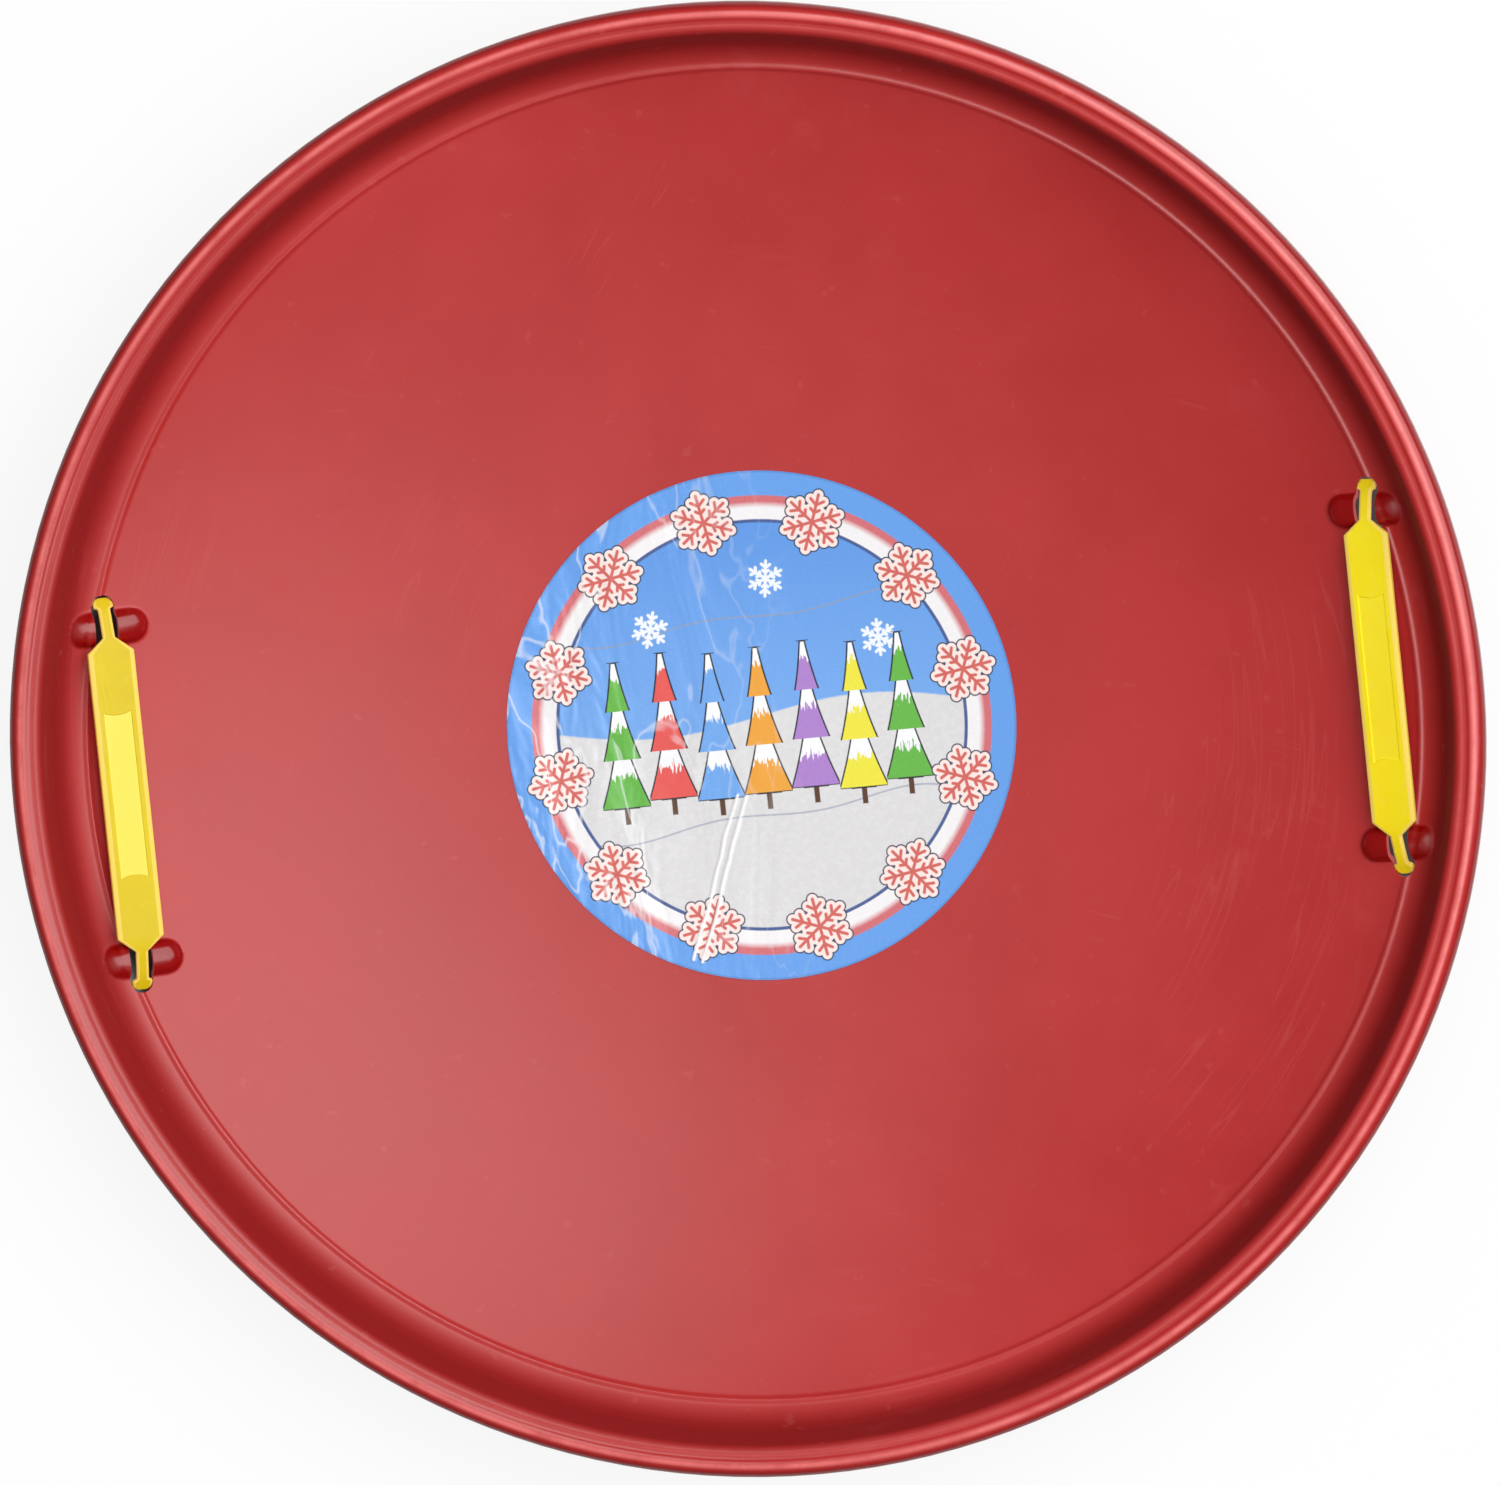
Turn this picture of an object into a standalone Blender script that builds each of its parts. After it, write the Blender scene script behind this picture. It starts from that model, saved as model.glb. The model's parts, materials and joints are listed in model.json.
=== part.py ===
"""Saucer sled: a round dished shell with a rolled lip, a round label and two flexible strap handles.

The sled lies open side up with the lowest point of its shell at the origin. The two handles lie at
+X (right) and -X (left). Each handle is a flat strap whose two narrow ends dip through slits in
raised anchor domes and finish in a cross bar below the sheet. Pulled up, the strap flexes at its
narrow ends and the cross bars slide inward under the domes, so the strap is modelled as a grip with
an end piece on a hinge line at each of its two shoulders.
"""

import math

import bmesh
import bpy
from mathutils import Matrix, Vector

# Sled shell
SLED_DIAMETER = 0.660
SLED_HEIGHT = 0.089
SHELL_WALL = 0.0025
REST_FLAT_DIAMETER = 0.060

# Rim section, from the outer edge inward
LIP_SKIRT = 0.0035
LIP_ROLL_RADIUS = 0.0054
LIP_LEDGE_DROP = 0.0011
LIP_LEDGE_WIDTH = 0.0020
LIP_INNER_RADIUS = 0.0040
WALL_SLANT = 0.0160
WALL_LEAN = math.radians(12)
FILLET_RADIUS = 0.0180
BEAD_WIDTH = 0.0045
BEAD_HEIGHT = 0.0009

# Label
LABEL_DIAMETER = 0.230
LABEL_THICKNESS = 0.0003

# Strap handles: distances along the strap are measured from its middle
HANDLE_INSET = 0.0440
STRAP_THICKNESS = 0.0030
STRAP_LIFT = 0.0076
GRIP_WIDTH = 0.0215
GRIP_LENGTH = 0.1290
SHOULDER_LENGTH = 0.0064
GRIP_EDGE_BEVEL = 0.0007
PANEL_LENGTH = 0.0750
PANEL_WIDTH = 0.0130
PANEL_DEPTH = 0.0004
NECK_WIDTH = 0.0057
NECK_THICKNESS = 0.0022
HINGE_INSET = 0.0011
NECK_FLARE_WIDTH = 0.0092
NECK_FLARE_LENGTH = 0.0026
CROSS_BAR_DIAMETER = 0.0040
CROSS_BAR_LENGTH = 0.0260
CROSS_BAR_FROM_DOME = 0.0123

# Anchor domes and slits
DOME_FROM_SHOULDER = 0.0041
DOME_LENGTH = 0.0400
DOME_WIDTH = 0.0160
DOME_HEIGHT = 0.0060
DOME_WALL = 0.0022
SLIT_LENGTH = 0.0300
SLIT_WIDTH = 0.0105

# Clearances and mesh density
PIECE_GAP = 0.0003
CUT_OVERRUN = 0.0040
MERGE_DISTANCE = 0.00001
TURN_STEPS = 72
LABEL_RINGS = 3
FLOOR_RINGS = 5
FILLET_STEPS = 4
LIP_TURN_STEPS = 2
ROLL_STEPS = 6
ROUND_SIDES = 16
SLIT_END_STEPS = 6

# Sizes of the section that follow from the values above
SLED_RADIUS = SLED_DIAMETER / 2
REST_FLAT_RADIUS = REST_FLAT_DIAMETER / 2
ROLL_CENTRE_X = SLED_RADIUS - LIP_ROLL_RADIUS
ROLL_CENTRE_Z = SLED_HEIGHT - LIP_ROLL_RADIUS
LEDGE_ANGLE = math.asin((LIP_ROLL_RADIUS - LIP_LEDGE_DROP) / LIP_ROLL_RADIUS)
LEDGE_OUTER_X = ROLL_CENTRE_X - LIP_ROLL_RADIUS * math.cos(LEDGE_ANGLE)
LEDGE_INNER_X = LEDGE_OUTER_X - LIP_LEDGE_WIDTH
LEDGE_Z = SLED_HEIGHT - LIP_LEDGE_DROP
WALL_TOP_X = LEDGE_INNER_X - LIP_INNER_RADIUS * math.cos(WALL_LEAN)
WALL_TOP_Z = LEDGE_Z - LIP_INNER_RADIUS + LIP_INNER_RADIUS * math.sin(WALL_LEAN)
WALL_FOOT_X = WALL_TOP_X - WALL_SLANT * math.sin(WALL_LEAN)
WALL_FOOT_Z = WALL_TOP_Z - WALL_SLANT * math.cos(WALL_LEAN)
FILLET_CENTRE_X = WALL_FOOT_X - FILLET_RADIUS * math.cos(WALL_LEAN)
FILLET_CENTRE_Z = WALL_FOOT_Z + FILLET_RADIUS * math.sin(WALL_LEAN)

# The dish is one arc, level at the rest flat and in line with the fillet at the floor's edge
DISH_REACH = FILLET_CENTRE_X - REST_FLAT_RADIUS + BEAD_WIDTH
FLOOR_EDGE_SLOPE = 2 * math.atan((FILLET_CENTRE_Z - FILLET_RADIUS - SHELL_WALL) / DISH_REACH)
FILLET_END_X = FILLET_CENTRE_X + FILLET_RADIUS * math.sin(FLOOR_EDGE_SLOPE)
FILLET_END_Z = FILLET_CENTRE_Z - FILLET_RADIUS * math.cos(FLOOR_EDGE_SLOPE)
FLOOR_EDGE_X = FILLET_END_X - BEAD_WIDTH * math.cos(FLOOR_EDGE_SLOPE)
DISH_RADIUS = (FLOOR_EDGE_X - REST_FLAT_RADIUS) / math.sin(FLOOR_EDGE_SLOPE)
LABEL_EDGE_SLOPE = math.asin((LABEL_DIAMETER / 2 - REST_FLAT_RADIUS) / DISH_RADIUS)

# Handle seat: the floor's tangent plane under the middle of a strap
HANDLE_OFFSET = SLED_RADIUS - HANDLE_INSET
SEAT_SLOPE = math.asin((HANDLE_OFFSET - REST_FLAT_RADIUS) / DISH_RADIUS)
SEAT_HEIGHT = SHELL_WALL + DISH_RADIUS * (1 - math.cos(SEAT_SLOPE))
FLOOR_RADIUS_ALONG_STRAP = HANDLE_OFFSET / math.sin(SEAT_SLOPE)

# Strap sizes that follow
GRIP_SHOULDER_PLACE = GRIP_LENGTH / 2
NECK_START_PLACE = GRIP_SHOULDER_PLACE + SHOULDER_LENGTH
HINGE_PLACE = NECK_START_PLACE - HINGE_INSET
HINGE_WIDTH = NECK_WIDTH + (GRIP_WIDTH - NECK_WIDTH) * HINGE_INSET / SHOULDER_LENGTH
HINGE_RADIUS = STRAP_THICKNESS / 2
STRAP_MIDDLE_HEIGHT = STRAP_LIFT + STRAP_THICKNESS / 2
CROSS_BAR_RADIUS = CROSS_BAR_DIAMETER / 2
DOME_PLACE = NECK_START_PLACE + DOME_FROM_SHOULDER
CROSS_BAR_PLACE = DOME_PLACE + CROSS_BAR_FROM_DOME

# Colours, roughness
SHELL_RED = (0.53, 0.030, 0.028, 1.0)
STRAP_YELLOW = (0.86, 0.63, 0.018, 1.0)
LABEL_BLUE = (0.13, 0.36, 0.78, 1.0)
SHELL_ROUGHNESS = 0.38
STRAP_ROUGHNESS = 0.42
LABEL_ROUGHNESS = 0.25


def floor_rise(place):
    """Height of the floor over the seat's tangent plane, beside the middle of the strap."""
    return place * place / (2 * FLOOR_RADIUS_ALONG_STRAP)


def floor_lean(place):
    """Slope of the floor along the strap at a distance from its middle."""
    return math.asin(place / FLOOR_RADIUS_ALONG_STRAP)


CROSS_BAR_HEIGHT = floor_rise(CROSS_BAR_PLACE) - SHELL_WALL - PIECE_GAP - CROSS_BAR_RADIUS
NECK_RUN = CROSS_BAR_PLACE - HINGE_PLACE
NECK_DROP = STRAP_MIDDLE_HEIGHT - CROSS_BAR_HEIGHT
NECK_LENGTH = math.hypot(NECK_RUN, NECK_DROP)
NECK_SLOPE = math.atan2(NECK_DROP, NECK_RUN)


def clear_scene():
    for old in list(bpy.data.objects):
        bpy.data.objects.remove(old, do_unlink=True)


def new_collection(name):
    group = bpy.data.collections.new(name)
    bpy.context.scene.collection.children.link(group)
    return group


def plain_material(name, colour, roughness):
    material = bpy.data.materials.new(name)
    material.use_nodes = True
    shader = material.node_tree.nodes["Principled BSDF"]
    shader.inputs["Base Color"].default_value = colour
    shader.inputs["Roughness"].default_value = roughness
    shader.inputs["Metallic"].default_value = 0.0
    material.diffuse_color = colour
    return material


def add_object(name, mesh, group):
    piece = bpy.data.objects.new(name, mesh)
    group.objects.link(piece)
    return piece


def line_mesh(name, points):
    """A mesh of edges only: the section line of a turned shape, in the XZ plane."""
    mesh = bpy.data.meshes.new(name)
    vertices = [(x, 0.0, z) for x, z in points]
    edges = [(index, index + 1) for index in range(len(points) - 1)]
    mesh.from_pydata(vertices, edges, [])
    return mesh


def turn(piece):
    screw = piece.modifiers.new("turn", "SCREW")
    screw.axis = "Z"
    screw.angle = math.tau
    screw.steps = TURN_STEPS
    screw.render_steps = TURN_STEPS
    screw.use_merge_vertices = True
    screw.merge_threshold = MERGE_DISTANCE
    screw.use_smooth_shade = True


def thicken(piece, thickness, offset):
    shell = piece.modifiers.new("wall", "SOLIDIFY")
    shell.thickness = thickness
    shell.offset = offset
    shell.use_even_offset = True
    shell.use_rim = True


def combine(piece, other, operation):
    cut = piece.modifiers.new(other.name, "BOOLEAN")
    cut.operation = operation
    cut.solver = "EXACT"
    cut.object = other


def as_helper(piece):
    """Mark an object as a construction shape that is not a part of the sled."""
    piece.hide_render = True
    piece.display_type = "WIRE"


def finished_mesh(piece, name):
    """The evaluated mesh of an object, with its doubles merged; the object itself is removed."""
    bpy.context.view_layer.update()
    evaluated = piece.evaluated_get(bpy.context.evaluated_depsgraph_get())
    mesh = bpy.data.meshes.new_from_object(evaluated)
    mesh.name = name
    work = bmesh.new()
    work.from_mesh(mesh)
    bmesh.ops.remove_doubles(work, verts=work.verts, dist=MERGE_DISTANCE)
    work.to_mesh(mesh)
    work.free()
    bpy.data.objects.remove(piece, do_unlink=True)
    return mesh


def shade_round(mesh):
    mesh.shade_smooth()
    mesh.set_sharp_from_angle(angle=math.radians(35))


def arc(centre_x, centre_z, radius, start, end, steps):
    """Points on an arc in the XZ plane, both ends included."""
    points = []
    for index in range(steps + 1):
        angle = start + (end - start) * index / steps
        points.append((centre_x + radius * math.cos(angle), centre_z + radius * math.sin(angle)))
    return points


def slopes_between(start, end, rings):
    return [start + (end - start) * index / rings for index in range(rings + 1)]


def floor_line(slopes, lift):
    """The dish's line from the axis through the given slopes, raised by lift along its normal."""
    points = [(0.0, SHELL_WALL + lift)]
    for slope in slopes:
        x = REST_FLAT_RADIUS + (DISH_RADIUS - lift) * math.sin(slope)
        z = SHELL_WALL + DISH_RADIUS - (DISH_RADIUS - lift) * math.cos(slope)
        points.append((x, z))
    return points


def label_line():
    """The label's lower face, which follows the dish's own rings."""
    return floor_line(slopes_between(0.0, LABEL_EDGE_SLOPE, LABEL_RINGS), PIECE_GAP)


def bead_line():
    """The narrow raised ring between the floor and the fillet, without its two ends."""
    along_x = math.cos(FLOOR_EDGE_SLOPE)
    along_z = math.sin(FLOOR_EDGE_SLOPE)
    edge_z = FILLET_END_Z - BEAD_WIDTH * along_z
    points = []
    for place_share in (0.32, 0.68):
        x = FLOOR_EDGE_X + BEAD_WIDTH * place_share * along_x - BEAD_HEIGHT * along_z
        z = edge_z + BEAD_WIDTH * place_share * along_z + BEAD_HEIGHT * along_x
        points.append((x, z))
    return points


def rim_line():
    """The inner face from the fillet up the wall and over the lip to the foot of its skirt."""
    points = arc(FILLET_CENTRE_X, FILLET_CENTRE_Z, FILLET_RADIUS,
                 FLOOR_EDGE_SLOPE - math.pi / 2, -WALL_LEAN, FILLET_STEPS)
    points += arc(LEDGE_INNER_X, LEDGE_Z - LIP_INNER_RADIUS, LIP_INNER_RADIUS,
                  math.pi - WALL_LEAN, math.pi / 2, LIP_TURN_STEPS)
    points += arc(ROLL_CENTRE_X, ROLL_CENTRE_Z, LIP_ROLL_RADIUS,
                  math.pi - LEDGE_ANGLE, 0.0, ROLL_STEPS)
    points.append((SLED_RADIUS, ROLL_CENTRE_Z - LIP_SKIRT))
    return points


def shell_line():
    """The whole inner face of the shell, from the axis to the outer edge."""
    slopes = slopes_between(0.0, LABEL_EDGE_SLOPE, LABEL_RINGS)
    slopes += slopes_between(LABEL_EDGE_SLOPE, FLOOR_EDGE_SLOPE, FLOOR_RINGS)[1:]
    return floor_line(slopes, 0.0) + bead_line() + rim_line()


def seat_frames():
    """World frames of the two handle seats: X points up the dish, Y along the strap, Z off the floor."""
    tilt = Matrix.Rotation(-SEAT_SLOPE, 4, "Y")
    place = Matrix.Translation(Vector((HANDLE_OFFSET, 0.0, SEAT_HEIGHT)))
    right = place @ tilt
    left = Matrix.Rotation(math.pi, 4, "Z") @ right
    return {"right": right, "left": left}


def strap_ends(side):
    """The two ends of a side's strap, each with the sign of its place along the seat's Y."""
    rear_sign = 1 if side == "right" else -1
    return (("rear", rear_sign), ("front", -rear_sign))


def dome_frames():
    """World frames of the four anchor domes, each square to the floor at its own place."""
    frames = {}
    for side, seat in seat_frames().items():
        for end, sign in strap_ends(side):
            lean = Matrix.Rotation(sign * floor_lean(DOME_PLACE), 4, "X")
            rise = Matrix.Translation(Vector((0.0, sign * DOME_PLACE, floor_rise(DOME_PLACE))))
            frames[side + "_" + end] = seat @ rise @ lean
    return frames


def pill_mesh(name, length, width, height, depth):
    """A pill-shaped dome along X: half a stretched ball on a straight foot."""
    radius = width / 2
    stretch = length / 2 - radius
    work = bmesh.new()
    bmesh.ops.create_uvsphere(work, u_segments=ROUND_SIDES, v_segments=ROUND_SIDES // 2, radius=1)
    lower = [vertex for vertex in work.verts if vertex.co.z < -MERGE_DISTANCE]
    bmesh.ops.delete(work, geom=lower, context="VERTS")
    rim = [edge for edge in work.edges if edge.is_boundary]
    foot = bmesh.ops.extrude_edge_only(work, edges=rim)["geom"]
    foot_edges = [item for item in foot if isinstance(item, bmesh.types.BMEdge)]
    foot_vertices = [item for item in foot if isinstance(item, bmesh.types.BMVert)]
    bmesh.ops.contextual_create(work, geom=[edge for edge in foot_edges if edge.is_boundary])
    for vertex in work.verts:
        side = math.copysign(stretch, vertex.co.x) if abs(vertex.co.x) > MERGE_DISTANCE else 0.0
        vertex.co = Vector((vertex.co.x * radius + side, vertex.co.y * radius, vertex.co.z * height))
    for vertex in foot_vertices:
        vertex.co.z = -depth
    bmesh.ops.recalc_face_normals(work, faces=work.faces)
    mesh = bpy.data.meshes.new(name)
    work.to_mesh(mesh)
    work.free()
    shade_round(mesh)
    return mesh


def plate_mesh(name, outline, thickness, group):
    """A flat plate in the XY plane, its middle plane at Z = 0, from a closed outline."""
    curve = bpy.data.curves.new(name, "CURVE")
    curve.dimensions = "2D"
    curve.fill_mode = "BOTH"
    curve.extrude = thickness / 2
    spline = curve.splines.new("POLY")
    spline.points.add(len(outline) - 1)
    for point, (x, y) in zip(spline.points, outline):
        point.co = (x, y, 0.0, 1.0)
    spline.use_cyclic_u = True
    return finished_mesh(add_object(name, curve, group), name)


def rod_mesh(name, radius, length):
    """A round rod along X, centred on the origin."""
    work = bmesh.new()
    bmesh.ops.create_cone(work, cap_ends=True, segments=ROUND_SIDES, radius1=radius, radius2=radius,
                          depth=length, matrix=Matrix.Rotation(math.pi / 2, 4, "Y"))
    mesh = bpy.data.meshes.new(name)
    work.to_mesh(mesh)
    work.free()
    return mesh


def slit_mesh(group):
    """The slit's cutter: a long hole with round ends along Y."""
    radius = SLIT_WIDTH / 2
    straight = SLIT_LENGTH / 2 - radius
    outline = []
    for end_angle, end_place in ((0.0, straight), (math.pi, -straight)):
        for index in range(SLIT_END_STEPS + 1):
            angle = end_angle + math.pi * index / SLIT_END_STEPS
            outline.append((radius * math.cos(angle), end_place + radius * math.sin(angle)))
    height = 2 * (DOME_HEIGHT + SHELL_WALL + CUT_OVERRUN)
    return plate_mesh("slit_cutter", outline, height, group)


def make_shell(parts, cutters, material):
    body = add_object("sled_body", line_mesh("sled_body", shell_line()), parts)
    turn(body)
    thicken(body, SHELL_WALL, -1.0)

    lowered = [(x, z - SHELL_WALL / 2) for x, z in shell_line()]
    inside = [point for point in lowered if point[0] < WALL_TOP_X]
    inside.append((0.0, SLED_HEIGHT + CUT_OVERRUN))
    inside.reverse()
    inside_space = add_object("bowl_space", line_mesh("bowl_space", inside), cutters)
    turn(inside_space)
    as_helper(inside_space)

    dome = pill_mesh("dome_blank", DOME_LENGTH, DOME_WIDTH, DOME_HEIGHT, SHELL_WALL + CUT_OVERRUN)
    hollow = pill_mesh("dome_hollow", DOME_LENGTH - 2 * DOME_WALL, DOME_WIDTH - 2 * DOME_WALL,
                       DOME_HEIGHT - DOME_WALL, SHELL_WALL + CUT_OVERRUN)
    slit = slit_mesh(cutters)
    shapes = (("dome", dome, "UNION"), ("hollow", hollow, "DIFFERENCE"), ("slit", slit, "DIFFERENCE"))
    for label, mesh, operation in shapes:
        for place, frame in dome_frames().items():
            helper = add_object(place + "_" + label, mesh, cutters)
            helper.matrix_world = frame
            as_helper(helper)
            if operation == "UNION":
                combine(helper, inside_space, "INTERSECT")
            combine(body, helper, operation)
    body.data.materials.append(material)


def make_label(parts, material):
    label = add_object("round_label", line_mesh("round_label", label_line()), parts)
    turn(label)
    thicken(label, LABEL_THICKNESS, 1.0)
    label.data.materials.append(material)


def grip_mesh(cutters):
    """The strap's wide middle, with bevelled edges, a shallow panel and a hollow end at each hinge line."""
    half = GRIP_WIDTH / 2
    outline = [(half, GRIP_SHOULDER_PLACE), (HINGE_WIDTH / 2, HINGE_PLACE)]
    outline += [(-x, y) for x, y in reversed(outline)]
    outline += [(-x, -y) for x, y in outline]
    plate = add_object("grip_blank", plate_mesh("grip_blank", outline, STRAP_THICKNESS, cutters), cutters)
    edges = plate.modifiers.new("edges", "BEVEL")
    edges.width = GRIP_EDGE_BEVEL
    edges.segments = 2
    edges.limit_method = "ANGLE"
    edges.angle_limit = math.radians(60)

    hinge_cut_mesh = rod_mesh("hinge_cutter", HINGE_RADIUS + PIECE_GAP, GRIP_WIDTH)
    helpers = []
    for name, place in (("hinge_cutter_a", HINGE_PLACE), ("hinge_cutter_b", -HINGE_PLACE)):
        helper = add_object(name, hinge_cut_mesh, cutters)
        helper.location.y = place
        helpers.append(helper)
    bpy.ops.mesh.primitive_cube_add(size=1, location=(0, 0, STRAP_THICKNESS / 2))
    panel = bpy.context.active_object
    panel.name = "panel_cutter"
    panel.scale = (PANEL_WIDTH, PANEL_LENGTH, 2 * PANEL_DEPTH)
    helpers.append(panel)
    for helper in helpers:
        combine(plate, helper, "DIFFERENCE")
    mesh = finished_mesh(plate, "handle_grip")
    for helper in helpers:
        bpy.data.objects.remove(helper, do_unlink=True)
    shade_round(mesh)
    return mesh


def end_mesh(cutters):
    """A strap end about its hinge line: a round knuckle, the narrow neck along Y and the cross bar."""
    root = HINGE_WIDTH / 2 - PIECE_GAP
    neck = NECK_WIDTH / 2
    flare = NECK_FLARE_WIDTH / 2
    flare_end = NECK_LENGTH - CROSS_BAR_RADIUS / 2
    outline = [(root, 0.0), (neck, HINGE_INSET), (neck, flare_end - NECK_FLARE_LENGTH),
               (flare, flare_end), (flare, NECK_LENGTH)]
    outline += [(-x, y) for x, y in reversed(outline)]
    plate = add_object("neck_blank", plate_mesh("neck_blank", outline, NECK_THICKNESS, cutters), cutters)
    knuckle = add_object("knuckle", rod_mesh("knuckle", HINGE_RADIUS, HINGE_WIDTH), cutters)
    bar = add_object("cross_bar", rod_mesh("cross_bar", CROSS_BAR_RADIUS, CROSS_BAR_LENGTH), cutters)
    bar.location.y = NECK_LENGTH
    for helper in (knuckle, bar):
        combine(plate, helper, "UNION")
    mesh = finished_mesh(plate, "handle_end")
    for helper in (knuckle, bar):
        bpy.data.objects.remove(helper, do_unlink=True)
    shade_round(mesh)
    return mesh


def make_handles(parts, cutters, material):
    grip_shape = grip_mesh(cutters)
    end_shape = end_mesh(cutters)
    for mesh in (grip_shape, end_shape):
        mesh.materials.append(material)
    for side, frame in seat_frames().items():
        seat = add_object(side + "_handle_seat", None, parts)
        seat.matrix_world = frame
        grip = add_object(side + "_handle_grip", grip_shape, parts)
        grip.parent = seat
        grip.location.z = STRAP_MIDDLE_HEIGHT
        for end, sign in strap_ends(side):
            tip = add_object(side + "_handle_" + end + "_end", end_shape, parts)
            tip.parent = grip
            tip.location.y = sign * HINGE_PLACE
            turned = 0.0 if sign > 0 else math.pi
            tip.rotation_euler = (-NECK_SLOPE, 0.0, turned)


def main():
    clear_scene()
    parts = new_collection("saucer_sled")
    cutters = new_collection("saucer_sled_cutters")
    make_shell(parts, cutters, plain_material("shell_red", SHELL_RED, SHELL_ROUGHNESS))
    make_label(parts, plain_material("label_print", LABEL_BLUE, LABEL_ROUGHNESS))
    make_handles(parts, cutters, plain_material("strap_yellow", STRAP_YELLOW, STRAP_ROUGHNESS))
    bpy.context.view_layer.update()


main()
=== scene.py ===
"""Saucer sled: looks of the moulded red shell, the yellow strap handles and the round label."""
import json
import math

import bmesh
import bpy
from mathutils import Matrix, Vector

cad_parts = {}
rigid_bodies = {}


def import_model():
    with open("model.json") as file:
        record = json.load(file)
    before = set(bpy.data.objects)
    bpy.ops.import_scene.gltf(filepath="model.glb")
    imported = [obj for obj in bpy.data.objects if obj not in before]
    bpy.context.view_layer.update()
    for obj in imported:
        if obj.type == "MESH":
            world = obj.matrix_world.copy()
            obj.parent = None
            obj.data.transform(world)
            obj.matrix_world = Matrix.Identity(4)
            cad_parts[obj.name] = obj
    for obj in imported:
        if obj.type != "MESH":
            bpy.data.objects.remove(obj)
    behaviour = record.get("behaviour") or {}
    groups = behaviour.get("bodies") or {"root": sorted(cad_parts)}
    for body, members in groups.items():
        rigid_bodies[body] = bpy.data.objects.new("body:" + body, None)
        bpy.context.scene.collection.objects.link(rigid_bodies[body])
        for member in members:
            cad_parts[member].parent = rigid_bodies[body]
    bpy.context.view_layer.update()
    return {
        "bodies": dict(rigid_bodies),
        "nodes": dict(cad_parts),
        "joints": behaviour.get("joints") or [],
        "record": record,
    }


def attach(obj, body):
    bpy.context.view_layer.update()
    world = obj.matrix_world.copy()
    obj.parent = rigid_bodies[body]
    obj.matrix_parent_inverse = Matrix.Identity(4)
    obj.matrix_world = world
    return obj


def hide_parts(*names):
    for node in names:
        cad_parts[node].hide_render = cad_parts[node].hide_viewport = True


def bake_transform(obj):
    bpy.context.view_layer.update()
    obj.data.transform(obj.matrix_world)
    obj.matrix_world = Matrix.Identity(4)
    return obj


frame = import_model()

# Sled section, as the CAD model has it
SLED_RADIUS = 0.330
SLED_HEIGHT = 0.089
SHELL_WALL = 0.0025
REST_FLAT_RADIUS = 0.030
DISH_RADIUS = 0.712439
LIP_SKIRT = 0.0035
LIP_ROLL_RADIUS = 0.0054
LIP_LEDGE_DROP = 0.0011
LIP_LEDGE_WIDTH = 0.0020
LIP_INNER_RADIUS = 0.0040
WALL_SLANT = 0.0160
WALL_LEAN = math.radians(12)
FILLET_RADIUS = 0.0180
BEAD_WIDTH = 0.0045
BEAD_HEIGHT = 0.0009
FLOOR_EDGE_SLOPE = 0.384243

# Fineness of the shell's section and of its turn about the axis
CENTRE_RADII = (0.0, 0.012, 0.024, 0.032)
COARSE_START, COARSE_STEP, COARSE_COUNT = 0.044, 0.012, 18
DENSE_START, DENSE_STEPS = 0.2585, 52
BEAD_STEPS = 10
FILLET_STEPS = 20
LIP_INNER_STEPS = 6
LIP_ROLL_STEPS = 16
STATIONS = 90
FINE_START_STATION, FINE_END_STATION = 7.0, 56.0
FINE_FROM, FINE_TO = math.radians(12.2), math.radians(17.7)
SHEET_MERGE = 0.00002
SHELL_SHARP_ANGLE = math.radians(40)

# Handles and their anchors
HANDLE_OFFSET = 0.286
STRAP_LIFT = 0.0076
STRAP_THICKNESS = 0.0030
GRIP_WIDTH = 0.0215
GRIP_SHOULDER_PLACE = 0.0645
SHOULDER_LENGTH = 0.0064
NECK_WIDTH = 0.0057
NECK_THICKNESS = 0.0022
HINGE_PLACE = 0.0698
CROSS_BAR_HEIGHT = -0.0000123
CROSS_BAR_RADIUS = 0.0020
CROSS_BAR_LENGTH = 0.0260
DOME_PLACE = 0.0750
DOME_LENGTH = 0.0400
DOME_WIDTH = 0.0160
DOME_HEIGHT = 0.0060
SLIT_LENGTH = 0.0300
SLIT_WIDTH = 0.0105

# Finish of the domes and slits. Each profile over the dome's radius takes half of the distance in,
# and gives half of the distance or the share of the rise out.
DOME_SPREAD_SHARES = ((0.0, 0.0), (1.0, 1.0), (0.125, 0.16), (0.25, 0.305), (0.35, 0.405), (0.425, 0.458),
                      (0.5, 0.492), (0.56, 0.525), (0.64, 0.60), (0.74, 0.735))
DOME_RISE_SHARES = ((0.0, 1.0), (1.0, 0.0), (0.125, 0.965), (0.25, 0.84), (0.35, 0.63), (0.425, 0.40),
                    (0.5, 0.165), (0.56, 0.055), (0.64, 0.012), (0.74, 0.0))
DOME_FOOT_BLEND = 0.0009
DOME_CROWN_DROP = 0.35
DOME_STEP = 0.0004
DOME_SPREAD_END_FROM, DOME_SPREAD_END_TO = 0.2990, 0.3030
LEAST_REACH = 0.00001
BEAD_FADE = 3.0
SLIT_SHIFT = 0.0005
SLIT_END_STEPS = 14
SLIT_CUT_LOW, SLIT_CUT_HIGH = -0.006, 0.012

# Label
LABEL_RADIUS = 0.115
LABEL_THICKNESS = 0.0003
LABEL_GAP = 0.0001
LABEL_RINGS, LABEL_STEPS = 60, 160
LABEL_SHARP_ANGLE = math.radians(50)

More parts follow.
